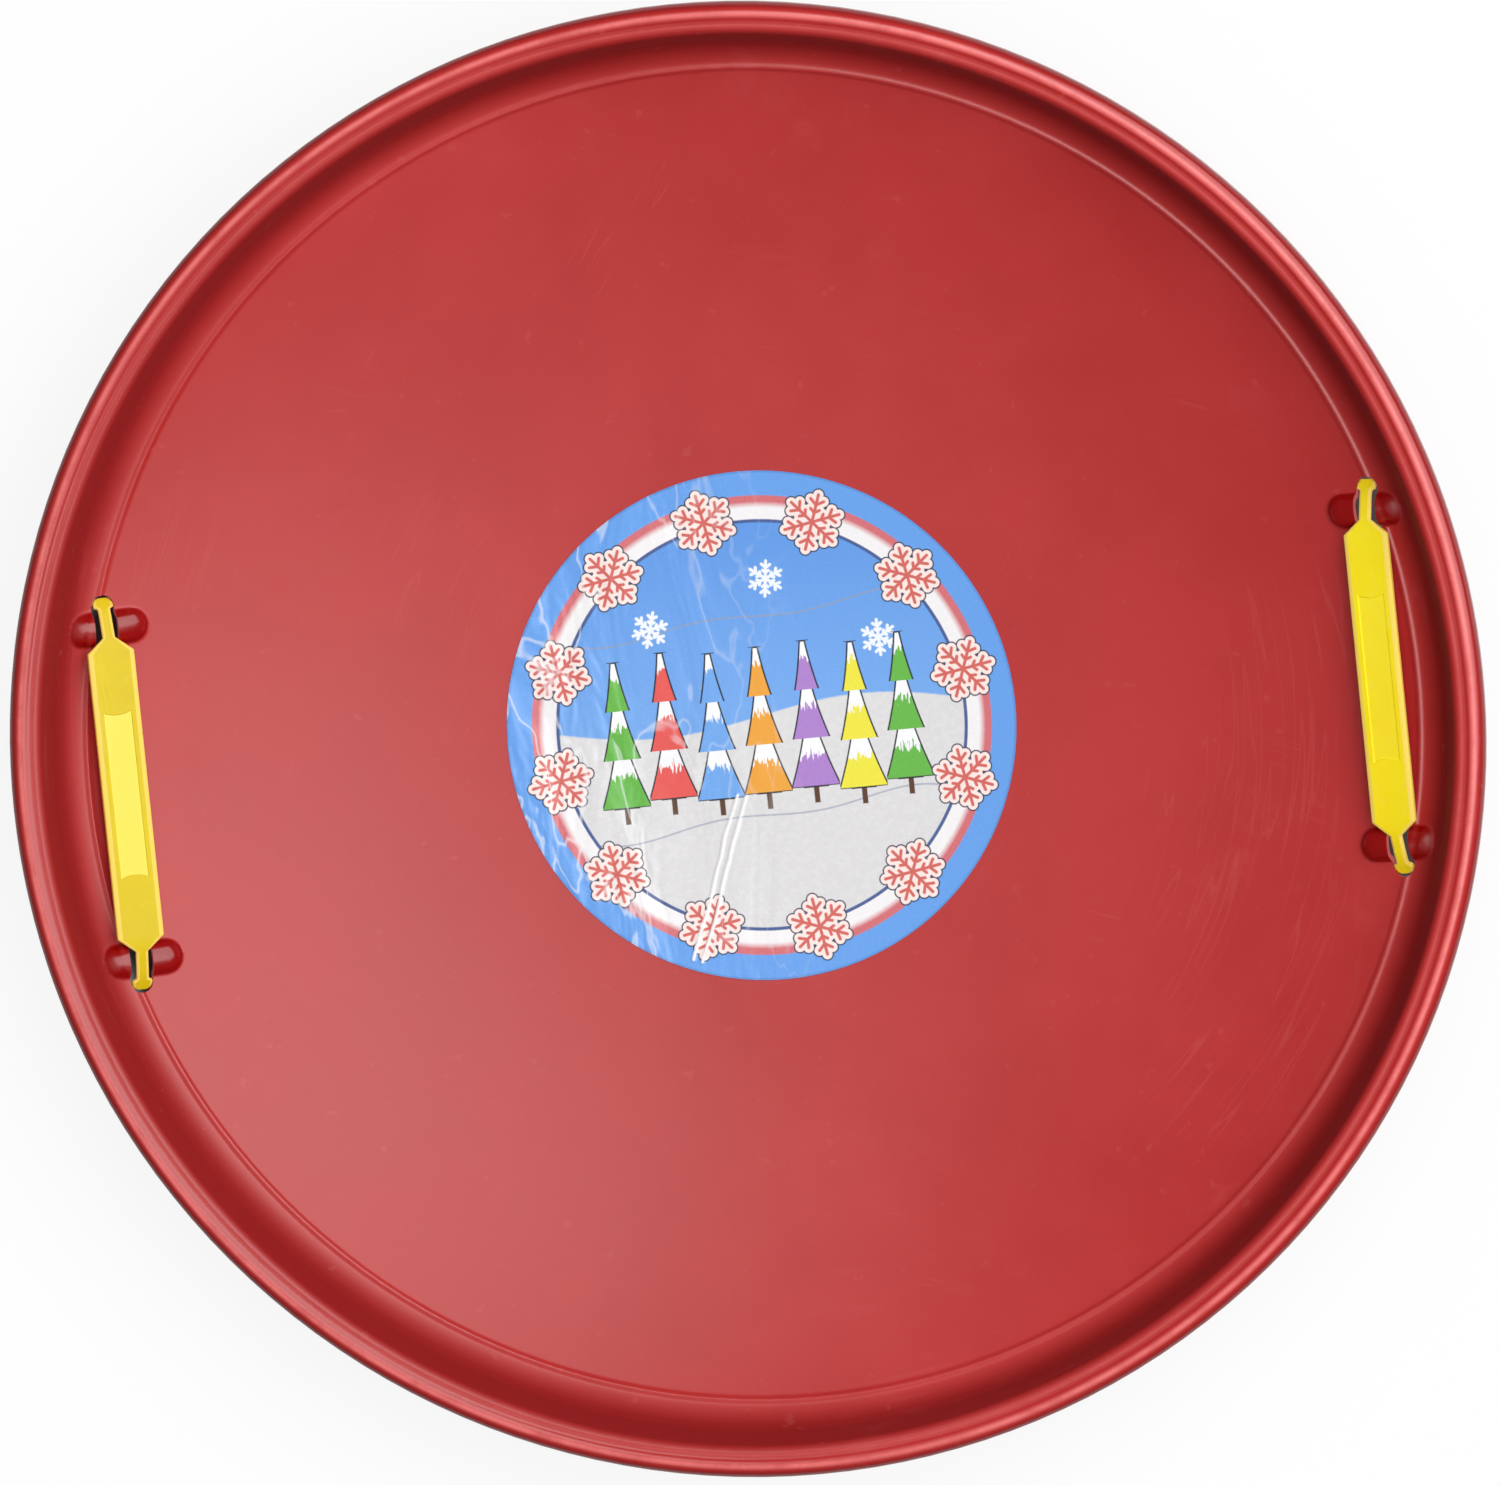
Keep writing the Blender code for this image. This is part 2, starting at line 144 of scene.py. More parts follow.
# Finish of the straps
GRIP_SEAM = 0.0640
EDGE_ROUND = 0.0008
NECK_EDGE_ROUND = 0.0006
BORDER_WIDTH = 0.0022
NECK_BORDER_WIDTH = 0.0012
BORDER_DROP = 0.00035
BORDER_FADE = 0.0002
PANEL_MARK = -1.0
PANEL_END = 0.0375
PANEL_HALF = 0.0062
PANEL_EDGE = 0.0003
PANEL_DEPTH = 0.0004
PANEL_HOLLOW = 0.0013
PANEL_END_REACH = 0.001
PANEL_SHARES = (1.0, 0.8, 0.5, 0.2)
GRIP_OUTER_PLACES = (-0.060, -0.050)
GRIP_INNER_PLACES = (-0.024, -0.012, 0.0)
GRIP_PANEL_OFFSETS = (0.0006, 0.0001, -0.0003, -0.0030)
BEND_REACH = 0.0028
BEND_STEPS = 7
NECK_STEPS = (5, 6, 9)
FLARE_START = 0.0836
FLARE_LENGTH = 0.0008
FLARE_WIDTH = 0.0092
HEAD_START = 0.0820
HEAD_START_HEIGHT = 0.0054
HEAD_ROUND_START = 0.0856
HEAD_ROUNDING = 0.62
HEAD_END = 0.0880
HEAD_END_HEIGHT = 0.0020
VISIBLE_BAR_PLACE = 0.0867
VISIBLE_BAR_HALF = 0.0016
BAR_ROUND_SHARE = 0.11
BAR_END_ROUNDING = 0.96
BAR_SHARES = (-1.0, -0.985, -0.95, -0.89, -0.3, 0.3, 0.89, 0.95, 0.985, 1.0)
BAR_SIDES = 16
STRAP_MERGE = 0.00001
STRAP_SHARP_ANGLE = math.radians(34)

SEAT_SLOPE = math.asin((HANDLE_OFFSET - REST_FLAT_RADIUS) / DISH_RADIUS)
SEAT_HEIGHT = SHELL_WALL + DISH_RADIUS * (1 - math.cos(SEAT_SLOPE))
FLOOR_RADIUS_ALONG_STRAP = HANDLE_OFFSET / math.sin(SEAT_SLOPE)

# Camera
PHOTO_WIDTH = 1500
SENSOR_WIDTH = 36.0
CAMERA_PIVOT = Vector((0.0, 0.0, 0.05))
CAMERA_DISTANCE = 8.0
CAMERA_OFF_X = math.radians(6.0)
CAMERA_OFF_Y = math.radians(5.0)
CAMERA_ROLL = math.radians(-5.84)
CAMERA_AIM = Vector((-0.0014, -0.0034, 0.050))
CAMERA_FOCAL_PIXELS = 17904

# Where the shell's finish changes, as distances from the axis
FLOOR_ENDS = 0.291, 0.300
WALL_STARTS, WALL_ENDS = (0.3015, 0.3095), (0.3155, 0.3185)
LIP_STARTS, OUTER_EDGE_STARTS = (0.3165, 0.3195), (0.3268, 0.3285)
BEAD_CREST, LEDGE_CORNER, LIP_CREST = 0.2996, 0.3196, 0.3247

# Colours of the plastics and the stage. A pair is the darker and the lighter one.
WHITE, BLACK = (1.0, 1.0, 1.0, 1.0), (0.0, 0.0, 0.0, 1.0)
FLOOR_REDS = (0.435, 0.0185, 0.0175, 1.0), (0.500, 0.0280, 0.0270, 1.0)
# The two darker reds on the next line are painted shade: one on the steep wall and the domes, one on the
# lip's outer edge.
STEEP_SHADE_RED, OUTER_EDGE_SHADE_RED = (0.30, 0.0010, 0.0012, 1.0), (0.16, 0.004, 0.006, 1.0)
# Painted highlights: the pink on the lip's crest and the paler red on its ledge and on the bead stand in
# for caught light.
CREST_HIGHLIGHT_PINK, LEDGE_AND_BEAD_HIGHLIGHT_RED = (0.93, 0.20, 0.19, 1.0), (0.72, 0.13, 0.12, 1.0)
SCUFF_RED, SCRATCH_PINK = (0.66, 0.12, 0.12, 1.0), (0.74, 0.22, 0.21, 1.0)
RIGHT_YELLOWS = (1.0, 0.77, 0.008, 1.0), (1.0, 0.83, 0.012, 1.0)
# The left strap's yellows are painted darker than the right's: painted shade on a copy of the same plastic.
SHADED_LEFT_YELLOWS = (0.71, 0.53, 0.004, 1.0), (0.77, 0.59, 0.007, 1.0)

# The label's picture, border and creases
HORIZON = 0.004
SKY_BLUES = (0.20, 0.44, 0.88, 1.0), (0.11, 0.32, 0.80, 1.0)
SNOW_GREYS = (0.71, 0.71, 0.72, 1.0), (0.74, 0.74, 0.75, 1.0)
DRIFT_GREY = (0.30, 0.34, 0.44, 1.0)
FLAKE_COUNT, FLAKE_RING, FLAKE_SIZE = 7, 0.066, 0.0080
FLAKE_WHITE = (0.88, 0.93, 0.99, 1.0)
PURPLE, RED = (0.42, 0.22, 0.62, 1.0), (0.80, 0.10, 0.09, 1.0)
YELLOW, GREEN = (0.86, 0.80, 0.05, 1.0), (0.13, 0.48, 0.06, 1.0)
ORANGE, AZURE = (0.86, 0.38, 0.04, 1.0), (0.16, 0.40, 0.86, 1.0)
PINE_SHADES = PURPLE, YELLOW, GREEN, GREEN, RED, AZURE, ORANGE
PINES_PER_SIDE, PINE_TIERS = 3, 3.0
PINE_BASE, PINE_PITCH, PINE_HEIGHT, PINE_HALF = -0.031, 0.0215, 0.066, 0.0112
STEM_BROWN, SNOW_CAP = (0.10, 0.04, 0.015, 1.0), (0.93, 0.95, 0.97, 1.0)
PINE_OUTLINE = (0.012, 0.012, 0.02, 1.0)
LABEL_BANDS = ((0.795, 0.0018, (0.06, 0.11, 0.30, 1.0)), (0.808, 0.0018, (0.90, 0.89, 0.90, 1.0)),
               (0.866, 0.012, (0.66, 0.16, 0.18, 1.0)), (0.902, 0.0018, (0.13, 0.36, 0.84, 1.0)),
               (0.992, 0.0018, (0.10, 0.28, 0.68, 1.0)))
BADGE_COUNT, BADGE_RING, BADGE_SIZE = 12, 0.0945, 0.0128
BADGE_LAYERS = ((0.0029, (0.02, 0.03, 0.08, 1.0)), (0.0023, (0.95, 0.80, 0.76, 1.0)),
                (0.0007, (0.66, 0.13, 0.11, 1.0)))
CREASE_ENDS = (-0.041, -0.1025), (-0.014, -0.031)
CREASE_PITCH = 0.0042
CREASE_WHITE, STRESS_WHITE = (0.95, 0.95, 0.95, 1.0), (0.90, 0.93, 0.97, 1.0)

# Studio: each softbox is a name, a place, a width, a depth and a power
WORLD_LEVEL = 0.12
SOFTBOX_AIM = Vector((0.0, 0.0, 0.05))
SOFTBOXES = (("overhead_softbox", (0.3, -0.3, 2.7), 4.0, 4.0, 30.0),
             ("strip_softbox", (1.35, 0.65, 2.2), 2.6, 3.0, 80.0))
FLOOR_REACH = 6.0
FLOOR_DROP = 0.0003
FLOOR_SHADE = (0.86, 0.86, 0.86, 1.0)
# Places of the floor's painted shadow under the slits.
SLIT_SHADOW_PLACE = (0.286, 0.076)
SLIT_SHADOW_SHIFT = (0.006, 0.005)


def floor_height(radius):
    """Height of the dish's inner face at a distance from the axis."""
    if radius <= REST_FLAT_RADIUS:
        return SHELL_WALL
    slope = math.asin((radius - REST_FLAT_RADIUS) / DISH_RADIUS)
    return SHELL_WALL + DISH_RADIUS * (1 - math.cos(slope))


def arc(centre_x, centre_z, radius, start, end, steps):
    """Points on an arc of the section, both ends included."""
    points = []
    for index in range(steps + 1):
        angle = start + (end - start) * index / steps
        points.append((centre_x + radius * math.cos(angle), centre_z + radius * math.sin(angle)))
    return points


def section_line():
    """The shell's inner face from the axis to the foot of the lip's skirt, and the bead's inner radius."""
    roll_x = SLED_RADIUS - LIP_ROLL_RADIUS
    roll_z = SLED_HEIGHT - LIP_ROLL_RADIUS
    ledge_angle = math.asin((LIP_ROLL_RADIUS - LIP_LEDGE_DROP) / LIP_ROLL_RADIUS)
    ledge_x = roll_x - LIP_ROLL_RADIUS * math.cos(ledge_angle) - LIP_LEDGE_WIDTH
    ledge_z = SLED_HEIGHT - LIP_LEDGE_DROP
    wall_x = ledge_x - LIP_INNER_RADIUS * math.cos(WALL_LEAN) - WALL_SLANT * math.sin(WALL_LEAN)
    wall_z = (ledge_z - LIP_INNER_RADIUS + LIP_INNER_RADIUS * math.sin(WALL_LEAN)
              - WALL_SLANT * math.cos(WALL_LEAN))
    fillet_x = wall_x - FILLET_RADIUS * math.cos(WALL_LEAN)
    fillet_z = wall_z + FILLET_RADIUS * math.sin(WALL_LEAN)
    fillet_end = (fillet_x + FILLET_RADIUS * math.sin(FLOOR_EDGE_SLOPE),
                  fillet_z - FILLET_RADIUS * math.cos(FLOOR_EDGE_SLOPE))
    along = (math.cos(FLOOR_EDGE_SLOPE), math.sin(FLOOR_EDGE_SLOPE))
    floor_edge_x = fillet_end[0] - BEAD_WIDTH * along[0]

    radii = list(CENTRE_RADII) + [COARSE_START + COARSE_STEP * i for i in range(COARSE_COUNT)]
    radii += [DENSE_START + (floor_edge_x - DENSE_START) * i / DENSE_STEPS for i in range(DENSE_STEPS + 1)]
    points = [(r, floor_height(r)) for r in radii]
    floor_edge_z = points[-1][1]
    for step in range(1, BEAD_STEPS):
        share = step / BEAD_STEPS
        points.append((floor_edge_x + BEAD_WIDTH * share * along[0],
                       floor_edge_z + BEAD_WIDTH * share * along[1]))
    points += arc(fillet_x, fillet_z, FILLET_RADIUS,
                  FLOOR_EDGE_SLOPE - math.pi / 2, -WALL_LEAN, FILLET_STEPS)
    points += arc(ledge_x, ledge_z - LIP_INNER_RADIUS, LIP_INNER_RADIUS,
                  math.pi - WALL_LEAN, math.pi / 2, LIP_INNER_STEPS)
    points += arc(roll_x, roll_z, LIP_ROLL_RADIUS, math.pi - ledge_angle, 0.0, LIP_ROLL_STEPS)
    points.append((SLED_RADIUS, roll_z - LIP_SKIRT * 0.5))
    points.append((SLED_RADIUS, roll_z - LIP_SKIRT))
    return points, floor_edge_x


def dome_frames():
    """World frames of the four anchor domes: X across the strap, Y along it, Z square to the floor."""
    lean_angle = math.asin(DOME_PLACE / FLOOR_RADIUS_ALONG_STRAP)
    rise = DOME_PLACE * DOME_PLACE / (2 * FLOOR_RADIUS_ALONG_STRAP)
    frames = {}
    for side, seat in seat_frames().items():
        rear_sign = 1 if side == "right" else -1
        for end, sign in (("rear", rear_sign), ("front", -rear_sign)):
            place = Matrix.Translation(Vector((0.0, sign * DOME_PLACE, rise)))
            frames[side + "_" + end] = seat @ place @ Matrix.Rotation(sign * lean_angle, 4, "X")
    return frames


def seat_frames():
    """World frames of the floor under the middle of each strap."""
    tilt = Matrix.Rotation(-SEAT_SLOPE, 4, "Y")
    right = Matrix.Translation(Vector((HANDLE_OFFSET, 0.0, SEAT_HEIGHT))) @ tilt
    return {"right": right, "left": Matrix.Rotation(math.pi, 4, "Z") @ right}


class Tree:
    """Adds nodes to one shader or geometry tree. A link or a plain value fills each input."""

    def __init__(self, tree):
        self.tree = tree

    def add(self, kind, inputs=None, output=0, **settings):
        node = self.tree.nodes.new(kind)
        for name, value in settings.items():
            setattr(node, name, value)
        for key, value in (inputs or {}).items():
            if isinstance(value, bpy.types.NodeSocket):
                self.tree.links.new(value, node.inputs[key])
            else:
                node.inputs[key].default_value = value
        return node.outputs[output] if node.outputs else node

    def math(self, operation, *values):
        return self.add("ShaderNodeMath", dict(enumerate(values)), operation=operation)

    def vector(self, operation, *values):
        output = 1 if operation == "DOT_PRODUCT" else 0
        return self.add("ShaderNodeVectorMath", dict(enumerate(values)), output, operation=operation)

    def span(self, value, low, high, to_low=0.0, to_high=1.0, kind="LINEAR"):
        inputs = {0: value, 1: low, 2: high, 3: to_low, 4: to_high}
        return self.add("ShaderNodeMapRange", inputs, interpolation_type=kind)

    def plus(self, first, second):
        return self.math("ADD", first, second)

    def minus(self, first, second):
        return self.math("SUBTRACT", first, second)

    def times(self, *values):
        """The product of two or more numbers."""
        product = values[0]
        for value in values[1:]:
            product = self.math("MULTIPLY", product, value)
        return product

    def mix(self, share, first, second):
        return self.add("ShaderNodeMix", {0: share, 6: first, 7: second}, 2, data_type="RGBA")

    def noise(self, place, scale, detail=2.0, roughness=0.5, distortion=0.0):
        inputs = {"Vector": place, "Scale": scale, "Detail": detail, "Roughness": roughness,
                  "Distortion": distortion}
        return self.add("ShaderNodeTexNoise", inputs)


def curve_node(tree, value, points):
    """A Float Curve node through the given points."""
    socket = tree.add("ShaderNodeFloatCurve", {"Value": value})
    curve = socket.node.mapping.curves[0]
    for index, (x, y) in enumerate(points):
        if index < 2:
            curve.points[index].location = (x, y)
        else:
            curve.points.new(x, y)
    socket.node.mapping.update()
    return socket


def set_inputs(modifier, values):
    """Sets a Geometry Nodes modifier's inputs by their names, through the sockets' identifiers."""
    for item in modifier.node_group.interface.items_tree:
        if item.item_type == "SOCKET" and item.in_out == "INPUT" and item.name in values:
            modifier[item.identifier] = values[item.name]


def shell_tree():
    """The shell's sheet: the section line turned about the axis, with a dome raised in each quarter."""
    group = bpy.data.node_groups.new("dished_sheet", "GeometryNodeTree")
    group.interface.new_socket("Sheet", in_out="OUTPUT", socket_type="NodeSocketGeometry")
    for name, kind in (("Section", "Geometry"), ("Rings", "Int"), ("Stations", "Int"),
                       ("Fine From", "Float"), ("Fine To", "Float"), ("Fine Start Station", "Float"),
                       ("Fine End Station", "Float"), ("Dome Centre", "Vector"),
                       ("Dome Across", "Vector"), ("Dome Along", "Vector"), ("Dome Up", "Vector"),
                       ("Dome Core", "Float"), ("Dome Radius", "Float"), ("Dome Height", "Float"),
                       ("Foot Blend", "Float"), ("Crown Drop", "Float"), ("Dome Step", "Float"),
                       ("Spread End From", "Float"), ("Spread End To", "Float"),
                       ("Merge Distance", "Float"), ("Plastic", "Material")):
        group.interface.new_socket(name, in_out="INPUT", socket_type="NodeSocket" + kind)
    t = Tree(group)
    source = group.nodes.new("NodeGroupInput").outputs
    grid = t.add("GeometryNodeMeshGrid", {"Vertices X": source["Rings"], "Vertices Y": source["Stations"]})
    index = t.plus(t.add("GeometryNodeInputIndex"), 0.5)
    ring = t.math("FLOOR", t.math("DIVIDE", index, source["Stations"]))
    station = t.math("FLOOR", t.math("MODULO", index, source["Stations"]))
    line = t.add("GeometryNodeSampleIndex", {"Geometry": source["Section"],
                 "Value": t.add("GeometryNodeInputPosition"), "Index": ring}, data_type="FLOAT_VECTOR")
    split = t.add("ShaderNodeSeparateXYZ", {0: line}).node
    last = t.minus(source["Stations"], 1.0)
    angle = t.span(station, 0.0, source["Fine Start Station"], 0.0, source["Fine From"])
    fine_turn = t.minus(source["Fine To"], source["Fine From"])
    angle = t.plus(angle, t.span(station, source["Fine Start Station"],
                   source["Fine End Station"], 0.0, fine_turn))
    rest_turn = t.minus(math.pi / 2, source["Fine To"])
    angle = t.plus(angle, t.span(station, source["Fine End Station"], last, 0.0, rest_turn))
    place = t.add("ShaderNodeCombineXYZ", {
        0: t.times(split.outputs[0], t.math("COSINE", angle)),
        1: t.times(split.outputs[0], t.math("SINE", angle)), 2: split.outputs[2]})
    offset = t.vector("SUBTRACT", place, source["Dome Centre"])
    across = t.vector("DOT_PRODUCT", offset, source["Dome Across"])
    along = t.vector("DOT_PRODUCT", offset, source["Dome Along"])
    above = t.vector("DOT_PRODUCT", offset, source["Dome Up"])
    core = t.add("ShaderNodeClamp", {0: across, 1: t.times(source["Dome Core"], -1.0),
                                     2: source["Dome Core"]})
    out = t.minus(across, core)
    reach = t.math("SQRT", t.plus(t.times(out, out), t.times(along, along)))
    share = t.math("DIVIDE", t.math("DIVIDE", reach, source["Dome Radius"]), 2.0)
    spread = curve_node(t, share, DOME_SPREAD_SHARES)
    full = t.plus(source["Dome Height"], source["Foot Blend"])
    end_share = t.math("DIVIDE", across, t.plus(source["Dome Core"], source["Dome Radius"]))
    crown = t.minus(1.0, t.times(end_share, end_share, source["Crown Drop"]))
    height = t.times(curve_node(t, share, DOME_RISE_SHARES), crown, full)
    above_step = t.math("MAXIMUM", t.minus(above, source["Dome Step"]), 0.0)
    wall = t.plus(above_step, source["Foot Blend"])
    lift = t.math("SMOOTH_MAX", t.minus(height, wall), 0.0, source["Foot Blend"])
    inward = t.span(split.outputs[0], source["Spread End From"], source["Spread End To"], 1.0, 0.0)
    near = t.times(t.span(lift, 0.0, source["Dome Step"]), inward)
    shift = t.minus(t.times(spread, 2.0, source["Dome Radius"]), reach)
    shift = t.math("DIVIDE", t.times(shift, near), t.math("MAXIMUM", reach, LEAST_REACH))
    move = t.vector("SCALE", source["Dome Up"])
    t.tree.links.new(lift, move.node.inputs["Scale"])
    for direction, amount in (("Dome Across", out), ("Dome Along", along)):
        side = t.vector("SCALE", source[direction])
        t.tree.links.new(t.times(amount, shift), side.node.inputs["Scale"])
        move = t.vector("ADD", move, side)
    sheet = t.add("GeometryNodeSetPosition", {"Geometry": grid, "Position": t.vector("ADD", place, move)})
    raised = t.math("DIVIDE", lift, source["Dome Height"])
    sheet = t.add("GeometryNodeStoreNamedAttribute", {"Geometry": sheet, "Name": "raised", "Value": raised},
                  data_type="FLOAT", domain="POINT")
    for scale in ((1.0, -1.0, 1.0), (-1.0, 1.0, 1.0)):
        mirrored = t.add("GeometryNodeTransform", {"Geometry": sheet, "Scale": scale})
        flipped = t.add("GeometryNodeFlipFaces", {"Mesh": mirrored})
        joined = t.add("GeometryNodeJoinGeometry")
        for part in (sheet, flipped):
            t.tree.links.new(part, joined.node.inputs[0])
        sheet = joined
    sheet = t.add("GeometryNodeMergeByDistance", {"Geometry": sheet, "Distance": source["Merge Distance"]})
    sheet = t.add("GeometryNodeSetShadeSmooth", {"Geometry": sheet})
    sheet = t.add("GeometryNodeRealizeInstances", {"Geometry": sheet})
    sheet = t.add("GeometryNodeSetMaterial", {"Geometry": sheet, "Material": source["Plastic"]})
    t.tree.links.new(sheet, group.nodes.new("NodeGroupOutput").inputs[0])
    return group


def clamped(share):
    return min(max(share, 0.0), 1.0)


def new_object(name, mesh):
    obj = bpy.data.objects.new(name, mesh)
    bpy.context.scene.collection.objects.link(obj)
    return obj


def mesh_from(name, points, faces):
    mesh = bpy.data.meshes.new(name)
    mesh.from_pydata([tuple(p) for p in points], [], faces)
    mesh.validate()
    return mesh


def round_outline(length, width, steps):
    """A slot outline with round ends, its length along Y."""
    half, radius = (length - width) / 2, width / 2
    outline = []
    for centre, start in ((half, 0.0), (-half, math.pi)):
        for index in range(steps + 1):
            angle = start + math.pi * index / steps
            outline.append((radius * math.cos(angle), centre + radius * math.sin(angle)))
    return outline


def prism(points, faces, outline, frame, low, high):
    """Adds a closed prism over an outline, in the given frame."""
    first, count = len(points), len(outline)
    for z in (low, high):
        points.extend(frame @ Vector((x, y, z)) for x, y in outline)
    faces.append([first + i for i in reversed(range(count))])
    faces.append([first + count + i for i in range(count)])
    for i in range(count):
        j = (i + 1) % count
        faces.append([first + i, first + j, first + count + j, first + count + i])


def baked_copy(obj, name):
    """The object's mesh with its modifiers applied, in place of the object."""
    graph = bpy.context.evaluated_depsgraph_get()
    mesh = bpy.data.meshes.new_from_object(obj.evaluated_get(graph))
    obj.modifiers.clear()
    old = obj.data
    obj.data = mesh
    mesh.name = name
    bpy.data.meshes.remove(old)
    return obj


def raise_bead(mesh, start):
    """Raises the bead ring on the sheet's upper side, whose points come first. The domes run over it."""
    raised = mesh.attributes["raised"].data
    for vertex in mesh.vertices[:len(mesh.vertices) // 2]:
        reach = math.hypot(vertex.co.x, vertex.co.y)
        share = (reach - start) / (BEAD_WIDTH * math.cos(FLOOR_EDGE_SLOPE))
        if 0.0 < share < 1.0:
            clear = max(1.0 - raised[vertex.index].value * BEAD_FADE, 0.0)
            rise = BEAD_HEIGHT * math.sin(math.pi * share) ** 2 * clear
            lean = rise * math.sin(FLOOR_EDGE_SLOPE) / reach
            vertex.co += Vector((-vertex.co.x * lean, -vertex.co.y * lean,
                                 rise * math.cos(FLOOR_EDGE_SLOPE)))


def make_shell(plastic):
    """The moulded shell: the turned sheet given its wall, the bead raised on it and the four slits cut."""
    line, bead_start = section_line()
    mesh = bpy.data.meshes.new("section")
    mesh.from_pydata([(x, 0.0, z) for x, z in line], [], [])
    shell = new_object("shell_moulding", mesh)
    sheet = shell.modifiers.new("sheet", "NODES")
    sheet.node_group = shell_tree()
    frame = dome_frames()["right_rear"]
    columns = [Vector(frame.col[i][:3]) for i in range(4)]
    set_inputs(sheet, {
        "Rings": len(line), "Stations": STATIONS, "Fine From": FINE_FROM, "Fine To": FINE_TO,
        "Fine Start Station": FINE_START_STATION, "Fine End Station": FINE_END_STATION,
        "Dome Centre": columns[3], "Dome Across": columns[0], "Dome Along": columns[1],
        "Dome Up": columns[2], "Dome Core": (DOME_LENGTH - DOME_WIDTH) / 2,
        "Dome Radius": DOME_WIDTH / 2, "Dome Height": DOME_HEIGHT, "Foot Blend": DOME_FOOT_BLEND,
        "Crown Drop": DOME_CROWN_DROP, "Dome Step": DOME_STEP,
        "Spread End From": DOME_SPREAD_END_FROM, "Spread End To": DOME_SPREAD_END_TO,
        "Merge Distance": SHEET_MERGE, "Plastic": plastic})
    wall = shell.modifiers.new("wall", "SOLIDIFY")
    wall.thickness = SHELL_WALL
    wall.offset = -1
    wall.use_even_offset = True
    baked_copy(shell, "dished_sheet")
    raise_bead(shell.data, bead_start)
    points, faces = [], []
    for dome in dome_frames().values():
        outward = dome @ Matrix.Translation(Vector((SLIT_SHIFT, 0.0, 0.0)))
        prism(points, faces, round_outline(SLIT_LENGTH, SLIT_WIDTH, SLIT_END_STEPS), outward,
              SLIT_CUT_LOW, SLIT_CUT_HIGH)
    cutter = new_object("slit_cutter", mesh_from("slit_cutter", points, faces))
    cutter.data.materials.append(plastic)
    cut = shell.modifiers.new("slits", "BOOLEAN")
    cut.operation = "DIFFERENCE"
    cut.solver = "EXACT"
    cut.object = cutter
    baked_copy(shell, "shell_moulding")
    bpy.data.objects.remove(cutter, do_unlink=True)
    shell.data.set_sharp_from_angle(angle=SHELL_SHARP_ANGLE)
    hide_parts("sled_body")
    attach(shell, "sled")


def skin(name, loops, frame, plastic):
    """A closed solid through loops of equal length, placed by the frame."""
    count = len(loops[0])
    points = [frame @ Vector(p[:3]) for loop in loops for p in loop]
    faces = []
    for step in range(len(loops) - 1):
        low, high = step * count, (step + 1) * count
        for i in range(count):
            j = (i + 1) % count
            faces.append([low + i, low + j, high + j, high + i])
    faces.append(list(reversed(range(count))))
    faces.append([(len(loops) - 1) * count + i for i in range(count)])
    mesh = mesh_from(name, points, faces)
    border = mesh.attributes.new("border", "FLOAT", "POINT")
    border.data.foreach_set("value", [p[3] for loop in loops for p in loop])
    shaped = bmesh.new()
    shaped.from_mesh(mesh)
    bmesh.ops.remove_doubles(shaped, verts=shaped.verts, dist=STRAP_MERGE)
    bmesh.ops.recalc_face_normals(shaped, faces=shaped.faces)
    shaped.to_mesh(mesh)
    shaped.free()
    mesh.shade_smooth()
    mesh.set_sharp_from_angle(angle=STRAP_SHARP_ANGLE)
    mesh.materials.append(plastic)
    return new_object(name, mesh)


def edge_arc(x, z, radius, start):
    """Four points of a quarter turn at a rounded edge."""
    return [(x + radius * math.cos(start + math.pi / 6 * i), z + radius * math.sin(start + math.pi / 6 * i))
            for i in range(4)]


def plate_section(half, thickness, edge, border, top_points=()):
    """A strap's section from its right side over the top and back below: x, z and the share of border."""
    z = thickness / 2 - edge
    inner = half - border
    flat = inner - BORDER_FADE
    section = [(x, y, 1.0) for x, y in edge_arc(half - edge, z - BORDER_DROP, edge, 0.0)]
    section += [(inner, thickness / 2, 1.0), (flat, thickness / 2, 0.0)]
    section += [(x, thickness / 2 + drop, mark) for x, drop, mark in top_points]
    section += [(-flat, thickness / 2, 0.0), (-inner, thickness / 2, 1.0)]
    section += [(x, y, 1.0) for x, y in edge_arc(-half + edge, z - BORDER_DROP, edge, math.pi / 2)]
    section += [(x, y, 1.0) for x, y in edge_arc(-half + edge, -z, edge, math.pi)]
    section += [(x, y, 1.0) for x, y in edge_arc(half - edge, -z, edge, 3 * math.pi / 2)]
    return section


def grip_loops():
    """The wide middle of a strap with its shallow panel, whose ends are slightly hollow lines."""
    places = [-GRIP_SEAM, *GRIP_OUTER_PLACES, *(-PANEL_END - offset for offset in GRIP_PANEL_OFFSETS),
              *GRIP_INNER_PLACES]
    places += [-y for y in reversed(places[:-1])]
    across = [share * PANEL_HALF for share in PANEL_SHARES]
    across += [-x for x in reversed(across)]
    loops = []
    for y in places:
        near_end = abs(abs(y) - PANEL_END) < PANEL_END_REACH
        inside = abs(y) < PANEL_END
        drop, mark = (-PANEL_DEPTH, PANEL_MARK) if inside else (0.0, 0.0)
        top = [(PANEL_HALF + PANEL_EDGE, 0.0, 0.0)] + [(x, drop, mark) for x in across]
        top += [(-PANEL_HALF - PANEL_EDGE, 0.0, 0.0)]
        loop = []
        for x, z, border in plate_section(GRIP_WIDTH / 2, STRAP_THICKNESS, EDGE_ROUND, BORDER_WIDTH, top):
            hollow = 0.0
            if near_end and z > 0:
                hollow = PANEL_HOLLOW * (1 - min(abs(x) / PANEL_HALF, 1.0) ** 2)
            height = STRAP_LIFT + STRAP_THICKNESS / 2 + z
            loop.append((x, y - math.copysign(hollow, y), height, border))
        loops.append(loop)
    return loops


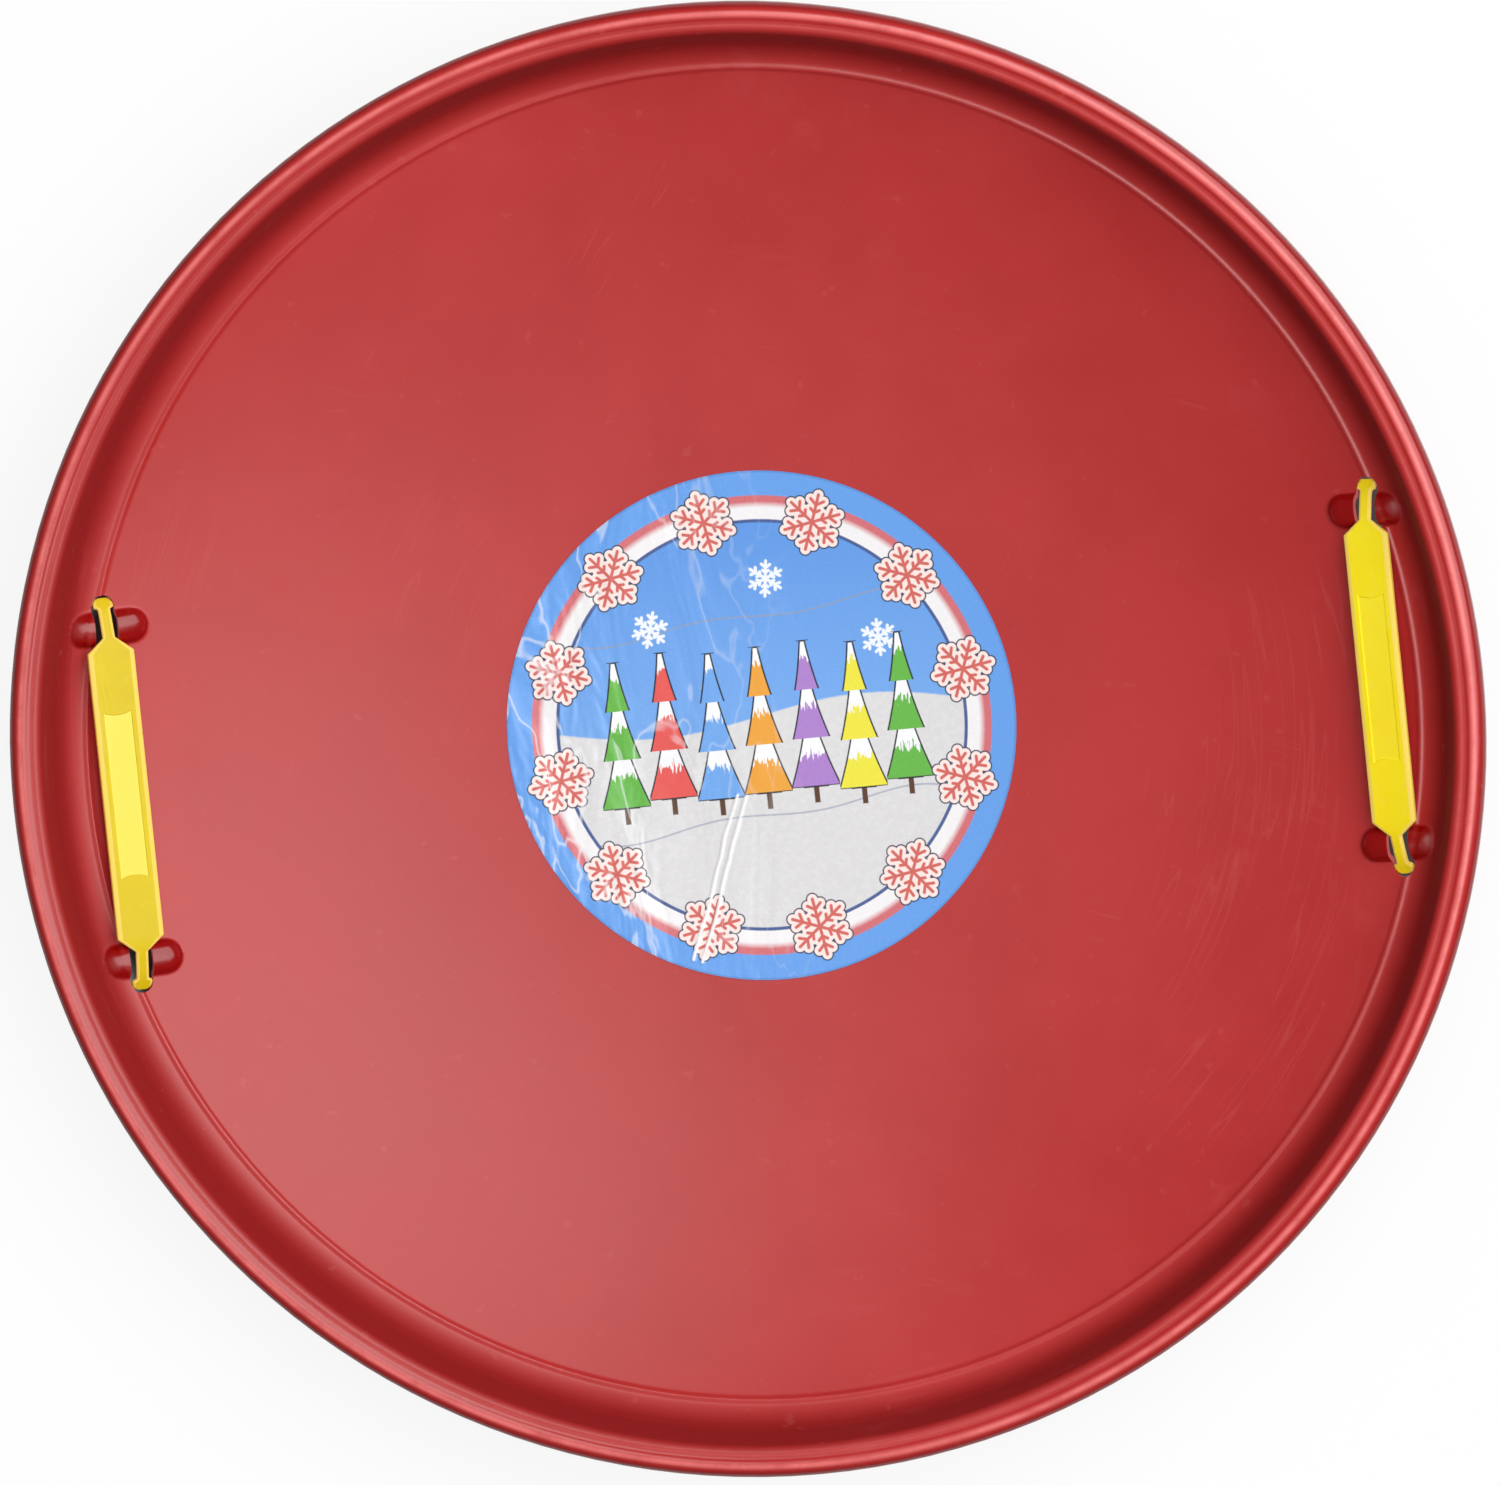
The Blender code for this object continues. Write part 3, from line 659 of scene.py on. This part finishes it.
def neck_path():
    """Centre points and slopes from the shoulder, over the slit, to the end of the head in the slit."""
    level = STRAP_LIFT + STRAP_THICKNESS / 2
    corners = [Vector((GRIP_SEAM, level)), Vector((HINGE_PLACE, level)),
               Vector((HEAD_START, HEAD_START_HEIGHT)), Vector((HEAD_END, HEAD_END_HEIGHT))]
    path = []
    for index, steps in enumerate(NECK_STEPS):
        here, after = corners[index], corners[index + 1]
        first = 0.0 if index == 0 else BEND_REACH / (after - here).length
        last = 1.0 if index == 2 else 1.0 - BEND_REACH / (after - here).length
        tangent = (after - here).normalized()
        path += [(here.lerp(after, first + (last - first) * s / steps), tangent) for s in range(steps + 1)]
        if index < 2:
            onward = (corners[index + 2] - after).normalized()
            low, high = after - tangent * BEND_REACH, after + onward * BEND_REACH
            for s in [step / BEND_STEPS for step in range(1, BEND_STEPS)]:
                path.append((low.lerp(after, s).lerp(after.lerp(high, s), s), tangent.lerp(onward, s)))
    return [(point, math.atan2(tangent.y, tangent.x)) for point, tangent in path]


def neck_half_width(reach):
    """Half the strap's width at a distance along it from its middle."""
    shoulder_end = GRIP_SHOULDER_PLACE + SHOULDER_LENGTH
    if reach <= GRIP_SHOULDER_PLACE:
        return GRIP_WIDTH / 2
    if reach < shoulder_end:
        share = (reach - GRIP_SHOULDER_PLACE) / SHOULDER_LENGTH
        return (GRIP_WIDTH + (NECK_WIDTH - GRIP_WIDTH) * share) / 2
    half = NECK_WIDTH / 2 + (FLARE_WIDTH - NECK_WIDTH) / 2 * clamped((reach - FLARE_START) / FLARE_LENGTH)
    rounded = clamped((reach - HEAD_ROUND_START) / (HEAD_END - HEAD_ROUND_START))
    return half * math.sqrt(1 - HEAD_ROUNDING * rounded ** 2)


def neck_loops():
    """A strap's end from the shoulder to the head, narrowed and thinned past the shoulder."""
    loops = []
    for point, slope in neck_path():
        half = neck_half_width(point.x)
        shoulder = clamped((point.x - GRIP_SHOULDER_PLACE) / SHOULDER_LENGTH)
        thickness = STRAP_THICKNESS + (NECK_THICKNESS - STRAP_THICKNESS) * shoulder
        edge = EDGE_ROUND + (NECK_EDGE_ROUND - EDGE_ROUND) * shoulder
        width = BORDER_WIDTH + (NECK_BORDER_WIDTH - BORDER_WIDTH) * shoulder
        loops.append([(x, point.x - z * math.sin(slope), point.y + z * math.cos(slope), border)
                      for x, z, border in plate_section(half, thickness, edge, width)])
    return loops


def bar_loops():
    """The cross bar under the sheet, with rounded ends."""
    loops = []
    turns = [2 * math.pi * side / BAR_SIDES for side in range(BAR_SIDES)]
    for share in BAR_SHARES:
        end = max(abs(share) - (1 - BAR_ROUND_SHARE), 0.0) / BAR_ROUND_SHARE
        radius = CROSS_BAR_RADIUS * math.sqrt(max(1 - (end * BAR_END_ROUNDING) ** 2, 0.0))
        depth = radius * VISIBLE_BAR_HALF / CROSS_BAR_RADIUS
        loops.append([(share * CROSS_BAR_LENGTH / 2, VISIBLE_BAR_PLACE + depth * math.cos(turn),
                       CROSS_BAR_HEIGHT + radius * math.sin(turn), 0.0) for turn in turns])
    return loops


def make_straps(plastics):
    """Both straps: a grip that rides its body, and two necks, left unattached, that bend down from the
    shoulders' hinges into the slits.
    """
    for side, seat in seat_frames().items():
        plastic = plastics[side]
        grip = skin(side + "_strap_grip", grip_loops(), seat, plastic)
        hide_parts(side + "_handle_grip")
        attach(grip, side + "_grip")
        rear_sign = 1 if side == "right" else -1
        for end, sign in (("rear", rear_sign), ("front", -rear_sign)):
            frame_of_end = seat @ Matrix.Rotation(0.0 if sign > 0 else math.pi, 4, "Z")
            name = side + "_strap_" + end + "_neck"
            neck = skin(name, neck_loops(), frame_of_end, plastic)
            bar = skin(name + "_bar", bar_loops(), frame_of_end, plastic)
            joined = neck.modifiers.new("bar", "BOOLEAN")
            joined.operation = "UNION"
            joined.solver = "EXACT"
            joined.object = bar
            baked_copy(neck, name)
            bpy.data.objects.remove(bar, do_unlink=True)
            neck.data.set_sharp_from_angle(angle=STRAP_SHARP_ANGLE)
            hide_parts(side + "_handle_" + end + "_end")
            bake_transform(neck)


def make_label(film):
    """The printed film on the dish: a thin round skin that follows the floor."""
    rings, steps = LABEL_RINGS, LABEL_STEPS
    points, faces = [], []
    for lift in (LABEL_GAP + LABEL_THICKNESS, LABEL_GAP):
        points.append((0.0, 0.0, floor_height(0.0) + lift))
        for ring in range(1, rings + 1):
            radius = LABEL_RADIUS * ring / rings
            for step in range(steps):
                angle = 2 * math.pi * step / steps
                points.append((radius * math.cos(angle), radius * math.sin(angle),
                               floor_height(radius) + lift))
    layer = 1 + rings * steps
    for base, turn in ((0, 1), (layer, -1)):
        for step in range(steps):
            after = (step + 1) % steps
            faces.append([base, base + 1 + step, base + 1 + after][::turn])
            for ring in range(rings - 1):
                inner, outer = base + 1 + ring * steps, base + 1 + (ring + 1) * steps
                faces.append([inner + step, outer + step, outer + after, inner + after][::turn])
    edge = 1 + (rings - 1) * steps
    for step in range(steps):
        after = (step + 1) % steps
        faces.append([edge + step, layer + edge + step, layer + edge + after, edge + after])
    mesh = mesh_from("label_film", points, faces)
    mesh.materials.append(film)
    label = new_object("label_film", mesh)
    mesh.shade_smooth()
    mesh.set_sharp_from_angle(angle=LABEL_SHARP_ANGLE)
    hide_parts("round_label")
    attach(label, "sled")


def flat_place(t, place):
    """The X and Y of a place, and its distance from the sled's axis."""
    split = t.add("ShaderNodeSeparateXYZ", {0: place}).node
    x, y = split.outputs[0], split.outputs[1]
    return x, y, length_of(t, x, y)


def new_finish(name):
    """A material with its tree, its main shader and the object's own coordinates."""
    material = bpy.data.materials.new(name)
    material.use_nodes = True
    t = Tree(material.node_tree)
    place = t.add("ShaderNodeTexCoord", output=3)
    return material, t, material.node_tree.nodes["Principled BSDF"], place


def connect(t, shader, sockets):
    """Links or sets each named socket of a shader."""
    for name, value in sockets.items():
        if isinstance(value, bpy.types.NodeSocket):
            t.tree.links.new(value, shader.inputs[name])
        else:
            shader.inputs[name].default_value = value


def fine_scratches(t, place, angle, seed, width, cover):
    """Broken hairlines that run in one direction, as a share of 0 to 1."""
    turned = t.add("ShaderNodeVectorRotate", {"Vector": place, "Angle": angle}, rotation_type="Z_AXIS")
    shifted = t.vector("ADD", turned, (seed, seed * 0.7, 0.0))
    wave = t.noise(t.vector("MULTIPLY", shifted, (7.0, 190.0, 7.0)), 1.0, 1.5)
    line = t.span(t.math("ABSOLUTE", t.minus(wave, 0.5)), 0.0, width, 1.0, 0.0)
    patch = t.span(t.noise(shifted, 17.0, 1.0), cover, cover + 0.09)
    return t.times(line, patch)


def bump(t, height, strength, distance, normal=None):
    inputs = {"Strength": strength, "Distance": distance, "Height": height}
    if normal is not None:
        inputs["Normal"] = normal
    return t.add("ShaderNodeBump", inputs)


def near_ring(t, reach, radius, half):
    """1 on a circle round the axis, falling softly to 0 at a half width on both sides."""
    off = t.math("ABSOLUTE", t.minus(reach, radius))
    return t.span(off, 0.0, half, 1.0, 0.0, "SMOOTHSTEP")


def turning_marks(t, place, reach):
    """Long soft rub marks that follow the rim, broken into a few stretches."""
    inward = t.vector("SCALE", place)
    t.tree.links.new(t.math("DIVIDE", 1.0, t.math("MAXIMUM", reach, 0.001)), inward.node.inputs["Scale"])
    ring_place = t.vector("MULTIPLY", inward, (1.7, 1.7, 0.0))
    lane = t.vector("ADD", ring_place, t.add("ShaderNodeCombineXYZ", {2: t.times(reach, 150.0)}))
    wave = t.noise(lane, 1.0, 1.0)
    line = t.span(t.math("ABSOLUTE", t.minus(wave, 0.5)), 0.0, 0.020, 1.0, 0.0)
    return t.times(line, t.span(t.noise(place, 6.5, 2.0), 0.58, 0.68))


def red_plastic():
    """Moulded shell plastic: cloudy satin on the floor, glossy on lip, bead and domes, dull on the wall,
    with painted shade and painted highlights.
    """
    material, t, shader, place = new_finish("red_shell_plastic")
    reach = flat_place(t, place)[2]
    on_dome = t.span(t.add("ShaderNodeAttribute", output=2, attribute_name="raised"), 0.02, 0.22)
    on_floor = t.span(reach, *FLOOR_ENDS, 1.0, 0.0)
    lip = t.span(reach, *LIP_STARTS)
    bead = near_ring(t, reach, BEAD_CREST, 0.0020)
    polish = t.math("MAXIMUM", t.math("MAXIMUM", lip, on_dome), bead)
    wall = t.times(t.span(reach, *WALL_STARTS), t.span(reach, *WALL_ENDS, 1.0, 0.0))
    steep_shade = t.math("MAXIMUM", wall, on_dome)
    cloud = t.noise(place, 9.0, 5.0, 0.62)
    broken = t.span(t.noise(place, 70.0, 3.0, 0.6), 0.30, 0.56, 0.55, 1.0)
    speck = t.span(t.noise(place, 115.0, 2.0, 0.6), 0.69, 0.74)
    lines = fine_scratches(t, place, 0.35, 1.3, 0.012, 0.64)
    lines = t.math("MAXIMUM", lines, fine_scratches(t, place, 2.2, 7.7, 0.010, 0.65))
    lines = t.math("MAXIMUM", t.times(lines, on_floor), turning_marks(t, place, reach))
    scuff = t.times(t.span(t.noise(place, 30.0, 5.0, 0.7), 0.58, 0.74),
                    t.span(t.noise(place, 5.0, 1.0), 0.50, 0.62))
    crest_highlight = t.times(near_ring(t, reach, LIP_CREST, 0.0021), broken)
    # The ledge and bead mask below carries a painted highlight.
    ledge = t.times(near_ring(t, reach, LEDGE_CORNER, 0.0011), broken)
    ledge_and_bead_highlight = t.math("MAXIMUM", ledge, t.times(bead, broken, 0.4))
    colour = t.mix(t.span(cloud, 0.3, 0.7), *FLOOR_REDS)
    # Painted shade: the steep wall and the domes take a darker red.
    colour = t.mix(steep_shade, colour, STEEP_SHADE_RED)
    # Painted shade on the lip's outer edge.
    colour = t.mix(t.times(t.span(reach, *OUTER_EDGE_STARTS), 0.62), colour, OUTER_EDGE_SHADE_RED)
    # Painted highlight along the lip's crest, broken by noise.
    colour = t.mix(t.times(crest_highlight, 0.80), colour, CREST_HIGHLIGHT_PINK)
    # Painted highlight on the ledge and the bead.
    colour = t.mix(t.times(ledge_and_bead_highlight, 0.30), colour, LEDGE_AND_BEAD_HIGHLIGHT_RED)
    colour = t.mix(t.times(scuff, 0.10), colour, SCUFF_RED)
    colour = t.mix(t.times(t.math("MAXIMUM", lines, speck), 0.08), colour, SCRATCH_PINK)
    rough = t.plus(t.span(cloud, 0.3, 0.7, 0.36, 0.42), t.times(scuff, 0.12))
    rough = t.minus(rough, t.times(polish, 0.19))
    rough = t.plus(rough, t.times(lines, 0.06))
    rough = t.plus(rough, t.times(wall, 0.40))
    normal = bump(t, t.noise(place, 420.0, 2.0, 0.6), 0.08, 0.0002)
    normal = bump(t, t.noise(place, 16.0, 2.0, 0.5), 0.25, 0.0010, normal)
    normal = bump(t, t.times(lines, -1.0), 0.12, 0.0001, normal)
    connect(t, shader, {"Base Color": colour, "Roughness": rough, "Normal": normal,
                        "Specular IOR Level": 0.5})
    return material


def yellow_plastic(name, gloss, panel_highlight, deep, pale):
    """Flexible strap plastic: satin yellow, with a painted highlight on its bevelled border and its panel,
    and paler rubbed spots.
    """
    material, t, shader, place = new_finish(name)
    mark = t.add("ShaderNodeAttribute", output=2, attribute_name="border")
    border = t.add("ShaderNodeClamp", {0: mark, 1: 0.0, 2: 1.0})
    panel = t.span(mark, 0.0, PANEL_MARK)
    mottle = t.noise(place, 38.0, 3.0, 0.6)
    rubbed = t.span(t.noise(place, 150.0, 4.0, 0.65), 0.58, 0.74)
    lines = fine_scratches(t, place, 1.45, 2.9, 0.02, 0.55)
    face = t.mix(t.span(mottle, 0.3, 0.7), deep, pale)
    # Painted highlight: the panel is painted paler, by a share given for each strap.
    face = t.mix(t.times(panel, panel_highlight), face, (1.0, 0.86, 0.13, 1.0))
    # Painted highlight: the bevelled border is painted paler.
    colour = t.mix(t.times(border, 0.80), face, (1.0, 0.73, 0.15, 1.0))
    colour = t.mix(t.times(rubbed, 0.14), colour, (0.96, 0.80, 0.22, 1.0))
    colour = t.mix(t.times(lines, 0.14), colour, (0.97, 0.84, 0.34, 1.0))
    rough = t.plus(t.span(mottle, 0.3, 0.7, gloss - 0.04, gloss + 0.05),
                   t.times(rubbed, 0.10))
    normal = bump(t, t.noise(place, 900.0, 2.0, 0.5), 0.12, 0.0001)
    normal = bump(t, t.noise(place, 60.0, 2.0, 0.5), 0.20, 0.0003, normal)
    connect(t, shader, {"Base Color": colour, "Roughness": rough, "Normal": normal,
                        "Specular IOR Level": 0.25})
    return material


def length_of(t, x, y):
    """The length of a flat pair."""
    return t.math("SQRT", t.plus(t.times(x, x), t.times(y, y)))


def from_bar(t, x, y, length):
    """Distance from a bar that runs from zero along X."""
    past = t.minus(x, t.add("ShaderNodeClamp", {0: x, 1: 0.0, 2: length}))
    return length_of(t, past, y)


def turned_pair(t, x, y, angle):
    """The pair of coordinates turned by a fixed angle."""
    c, s = math.cos(angle), math.sin(angle)
    along = t.plus(t.times(x, c), t.times(y, s))
    aside = t.minus(t.times(y, c), t.times(x, s))
    return along, aside


def ring_cell(t, x, y, count, turn):
    """Coordinates in the nearest of evenly spaced places round the centre, from the centre outward."""
    pitch = 2 * math.pi / count
    angle = t.minus(t.math("ARCTAN2", y, x), turn)
    number = t.math("ROUND", t.math("DIVIDE", angle, pitch))
    local = t.minus(angle, t.times(number, pitch))
    reach = length_of(t, x, y)
    return t.times(reach, t.math("COSINE", local)), t.times(reach, t.math("SINE", local))


def snowflake(t, x, y, size):
    """Distance from the middle lines of a six-armed snowflake."""
    reach = length_of(t, x, y)
    fold = t.math("PINGPONG", t.math("ARCTAN2", y, x), math.pi / 6)
    px = t.times(reach, t.math("COSINE", fold))
    py = t.times(reach, t.math("SINE", fold))
    nearest = from_bar(t, px, py, size)
    for start, length in ((0.62, 0.30), (0.34, 0.20)):
        bx, by = turned_pair(t, t.minus(px, start * size), py, math.radians(52))
        nearest = t.math("MINIMUM", nearest, from_bar(t, bx, by, length * size))
    return nearest


def inside(t, distance, limit, soft=0.00016):
    """1 where a distance is under a limit, with a soft edge."""
    return t.span(distance, limit - soft, limit + soft, 1.0, 0.0)


def pine_row(t, colour, x, y):
    """Paints a row of snow-capped pines in several colours over a colour."""
    lane = t.math("DIVIDE", x, PINE_PITCH)
    number = t.math("ROUND", lane)
    aside = t.math("ABSOLUTE", t.times(t.minus(lane, number), PINE_PITCH))
    base = t.plus(PINE_BASE, t.times(t.math("SINE", t.times(number, 2.4)), 0.0014))
    up = t.math("DIVIDE", t.minus(y, base), PINE_HEIGHT)
    tier = t.math("FRACT", t.times(up, PINE_TIERS))
    narrow = t.minus(1.0, t.times(up, 0.78))
    taper = t.minus(1.0, t.times(tier, 0.52))
    edge = t.minus(aside, t.times(narrow, taper, PINE_HALF))
    ends = t.minus(t.math("ABSOLUTE", t.minus(up, 0.5)), 0.5)
    shape = t.math("MAXIMUM", edge, t.times(ends, PINE_HEIGHT))
    kept = t.span(t.math("ABSOLUTE", number), PINES_PER_SIDE + 0.4, PINES_PER_SIDE + 0.5, 1.0, 0.0)
    foot = t.minus(t.math("ABSOLUTE", t.plus(up, 0.05)), 0.06)
    stem = t.math("MAXIMUM", t.minus(aside, 0.0012), t.times(foot, PINE_HEIGHT))
    colour = t.mix(t.times(inside(t, stem, 0.0), kept), colour, STEM_BROWN)
    shades = len(PINE_SHADES)
    choice = t.math("FRACT", t.math("DIVIDE", t.plus(number, 20.5), float(shades)))
    ramp = t.add("ShaderNodeValToRGB", {0: choice}).node
    stops = ramp.color_ramp.elements
    ramp.color_ramp.interpolation = "CONSTANT"
    for index, shade in enumerate(PINE_SHADES):
        stop = stops[0] if index == 0 else stops.new(index / shades)
        stop.position = index / shades
        stop.color = shade
    stops.remove(stops[-1])
    flat = t.add("ShaderNodeCombineXYZ", {0: x, 1: y})
    ragged = t.noise(t.vector("MULTIPLY", flat, (900.0, 200.0, 0.0)), 1.0, 1.0)
    snow = t.span(t.plus(tier, t.times(ragged, 0.6)), 0.92, 0.97)
    body = t.mix(snow, ramp.outputs[0], SNOW_CAP)
    colour = t.mix(t.times(inside(t, shape, 0.00035), kept), colour, PINE_OUTLINE)
    return t.mix(t.times(inside(t, shape, -0.0004), kept), colour, body)


def winter_ground(t, x, y, fibre):
    """Blue sky with small flakes over a snowy hill with drift lines."""
    sky = t.mix(t.span(y, -0.03, 0.09), *SKY_BLUES)
    hill = t.times(t.math("SINE", t.times(x, 34.0)), 0.006)
    snow = t.mix(t.span(fibre, 0.35, 0.65), *SNOW_GREYS)
    above = t.minus(t.minus(y, hill), HORIZON)
    colour = t.mix(inside(t, above, 0.0, 0.0004), sky, snow)
    wave = t.times(t.math("SINE", t.times(x, 61.0)), 0.004)
    drift = t.minus(t.math("ABSOLUTE", t.plus(above, wave)), 0.045)
    drift = inside(t, t.math("ABSOLUTE", drift), 0.0004)
    colour = t.mix(t.times(drift, 0.7), colour, DRIFT_GREY)
    flake_x, flake_y = ring_cell(t, x, y, FLAKE_COUNT, 0.55)
    flake = snowflake(t, t.minus(flake_x, FLAKE_RING), flake_y, FLAKE_SIZE)
    return t.mix(t.times(inside(t, flake, 0.0007), t.span(above, 0.004, 0.008)), colour, FLAKE_WHITE)


def border_and_badges(t, colour, x, y, reach):
    """Paints the label's banded border over a colour, with snowflake badges all round."""
    share = t.math("DIVIDE", reach, LABEL_RADIUS)
    for limit, soft, shade in LABEL_BANDS:
        colour = t.mix(t.span(share, limit - soft, limit + soft), colour, shade)
    badge_x, badge_y = ring_cell(t, x, y, BADGE_COUNT, 0.18)
    badge = snowflake(t, t.minus(badge_x, BADGE_RING), badge_y, BADGE_SIZE)
    for width, shade in BADGE_LAYERS:
        colour = t.mix(inside(t, badge, width), colour, shade)
    return colour


def twin_crease(t, x, y, place):
    """Distance from the two creases that run side by side to the label's lower left edge."""
    (start_x, start_y), (end_x, end_y) = CREASE_ENDS
    lean = math.atan2(end_y - start_y, end_x - start_x)
    length = math.hypot(end_y - start_y, end_x - start_x)
    sway = t.times(t.minus(t.noise(place, 38.0, 1.0), 0.5), 0.008)
    along, off = turned_pair(t, t.minus(x, start_x), t.minus(y, start_y), lean)
    first = from_bar(t, along, t.plus(off, sway), length)
    second = t.plus(t.plus(off, CREASE_PITCH), t.times(sway, 0.7))
    return t.math("MINIMUM", first, from_bar(t, along, second, length))


def label_print():
    """The round film's print: a row of coloured pines on snow in a banded border, creased and wrinkled."""
    material, t, shader, place = new_finish("label_print")
    x, y, reach = flat_place(t, place)
    fibre = t.noise(place, 300.0, 3.0, 0.6)
    colour = pine_row(t, winter_ground(t, x, y, fibre), x, y)
    colour = border_and_badges(t, colour, x, y, reach)
    crease = twin_crease(t, x, y, place)
    colour = t.mix(t.times(inside(t, crease, 0.0007, 0.0003), 0.92), colour, CREASE_WHITE)
    wrinkle = t.noise(t.vector("MULTIPLY", place, (34.0, 12.0, 20.0)), 1.0, 3.0, 0.55, 0.6)
    left = t.span(x, 0.02, -0.07)
    stress = t.span(t.math("ABSOLUTE", t.minus(wrinkle, 0.5)), 0.0, 0.018, 1.0, 0.0)
    colour = t.mix(t.times(stress, left, 0.50), colour, STRESS_WHITE)
    rough = t.span(fibre, 0.3, 0.7, 0.24, 0.30)
    normal = bump(t, fibre, 0.08, 0.0001)
    normal = bump(t, wrinkle, t.times(left, 0.9), 0.0040, normal)
    normal = bump(t, inside(t, crease, 0.0008, 0.0008), 0.8, 0.0005, normal)
    connect(t, shader, {"Base Color": colour, "Roughness": rough, "Normal": normal,
                        "Specular IOR Level": 0.5})
    return material


def seen_rays(t):
    """1 for rays that the camera sends, straight or through something clear."""
    rays = t.add("ShaderNodeLightPath").node
    return t.math("MAXIMUM", rays.outputs["Is Camera Ray"], rays.outputs["Is Transmission Ray"])


def pale_floor():
    """A pale floor, bright around the object, that keeps its shadow, has a painted shadow under the slits
    and is clear from below.

    It is darker in four soft places under the slits, where the photograph shows no light.
    """
    material = bpy.data.materials.new("pale_floor")
    material.use_nodes = True
    t = Tree(material.node_tree)
    t.tree.nodes.clear()
    seen = seen_rays(t)
    x, y, reach = flat_place(t, t.add("ShaderNodeTexCoord", output=3))
    open_floor = t.plus(t.span(reach, 0.305, 0.327, 0.0, 0.88, "SMOOTHSTEP"),
                        t.span(reach, 0.327, 0.42, 0.0, 0.08))
    off_x, off_y = (t.minus(t.math("ABSOLUTE", t.plus(value, shift)), centre)
                    for value, shift, centre in zip((x, y), SLIT_SHADOW_SHIFT, SLIT_SHADOW_PLACE))
    # Painted shadow: for camera rays the floor goes dark under each slit.
    slit_shadow = t.span(length_of(t, off_x, off_y), 0.012, 0.036, 0.88, 0.0, "SMOOTHSTEP")
    plain = t.add("ShaderNodeBsdfDiffuse", {"Color": t.mix(t.times(slit_shadow, seen), FLOOR_SHADE, BLACK)})
    bright = t.add("ShaderNodeEmission", {"Color": WHITE, "Strength": 1.0})
    blend = t.add("ShaderNodeMixShader", {0: t.times(seen, open_floor), 1: plain, 2: bright})
    from_below = t.add("ShaderNodeNewGeometry").node.outputs["Backfacing"]
    clear = t.add("ShaderNodeBsdfTransparent")
    blend = t.add("ShaderNodeMixShader", {0: from_below, 1: blend, 2: clear})
    t.tree.links.new(blend, t.tree.nodes.new("ShaderNodeOutputMaterial").inputs[0])
    return material


def make_stage():
    """The floor, the backdrop and the softboxes."""
    corners = [(x * FLOOR_REACH, y * FLOOR_REACH, -FLOOR_DROP)
               for x, y in ((-1, -1), (1, -1), (1, 1), (-1, 1))]
    floor = new_object("studio_floor", mesh_from("studio_floor", corners, [[0, 1, 2, 3]]))
    floor.data.materials.append(pale_floor())
    world = bpy.data.worlds.new("studio")
    world.use_nodes = True
    t = Tree(world.node_tree)
    backdrop = world.node_tree.nodes["Background"]
    connect(t, backdrop, {"Color": WHITE, "Strength": t.span(seen_rays(t), 0.0, 1.0, WORLD_LEVEL, 1.0)})
    bpy.context.scene.world = world
    for name, place, width, depth, power in SOFTBOXES:
        lamp = bpy.data.lights.new(name, "AREA")
        lamp.shape = "RECTANGLE"
        lamp.size, lamp.size_y = width, depth
        lamp.energy = power
        box = bpy.data.objects.new(name, lamp)
        box.location = place
        box.rotation_euler = (SOFTBOX_AIM - Vector(place)).to_track_quat("-Z", "Y").to_euler()
        bpy.context.scene.collection.objects.link(box)


def make_camera():
    """The camera at the photograph's angle, far off and rolled."""
    data = bpy.data.cameras.new("photo_camera")
    data.sensor_width = SENSOR_WIDTH
    data.sensor_fit = "HORIZONTAL"
    data.lens = CAMERA_FOCAL_PIXELS / PHOTO_WIDTH * SENSOR_WIDTH
    data.clip_start, data.clip_end = 0.05, 50.0
    camera = bpy.data.objects.new("photo_camera", data)
    sx, sy = math.sin(CAMERA_OFF_X), math.sin(CAMERA_OFF_Y)
    stand = Vector((sx, sy, math.sqrt(1 - sx * sx - sy * sy))) * CAMERA_DISTANCE + CAMERA_PIVOT
    ahead = (CAMERA_AIM - stand).normalized()
    up = (Vector((0.0, 1.0, 0.0)) - ahead * ahead.y).normalized()
    right = ahead.cross(up)
    c, s = math.cos(CAMERA_ROLL), math.sin(CAMERA_ROLL)
    right, up = right * c + up * s, up * c - right * s
    turn = Matrix((right, up, -ahead)).transposed().to_4x4()
    camera.matrix_world = Matrix.Translation(stand) @ turn
    bpy.context.scene.collection.objects.link(camera)
    bpy.context.scene.camera = camera


make_camera()
make_shell(red_plastic())
# The left strap's plastic is a darker copy, with painted shade and a strong painted highlight on its panel.
make_straps({"right": yellow_plastic("yellow_strap_plastic", 0.50, 0.10, *RIGHT_YELLOWS),
             "left": yellow_plastic("yellow_strap_plastic_painted_light", 0.46, 0.75, *SHADED_LEFT_YELLOWS)})
make_label(label_print())
make_stage()
bpy.context.scene.view_settings.view_transform = "Standard"
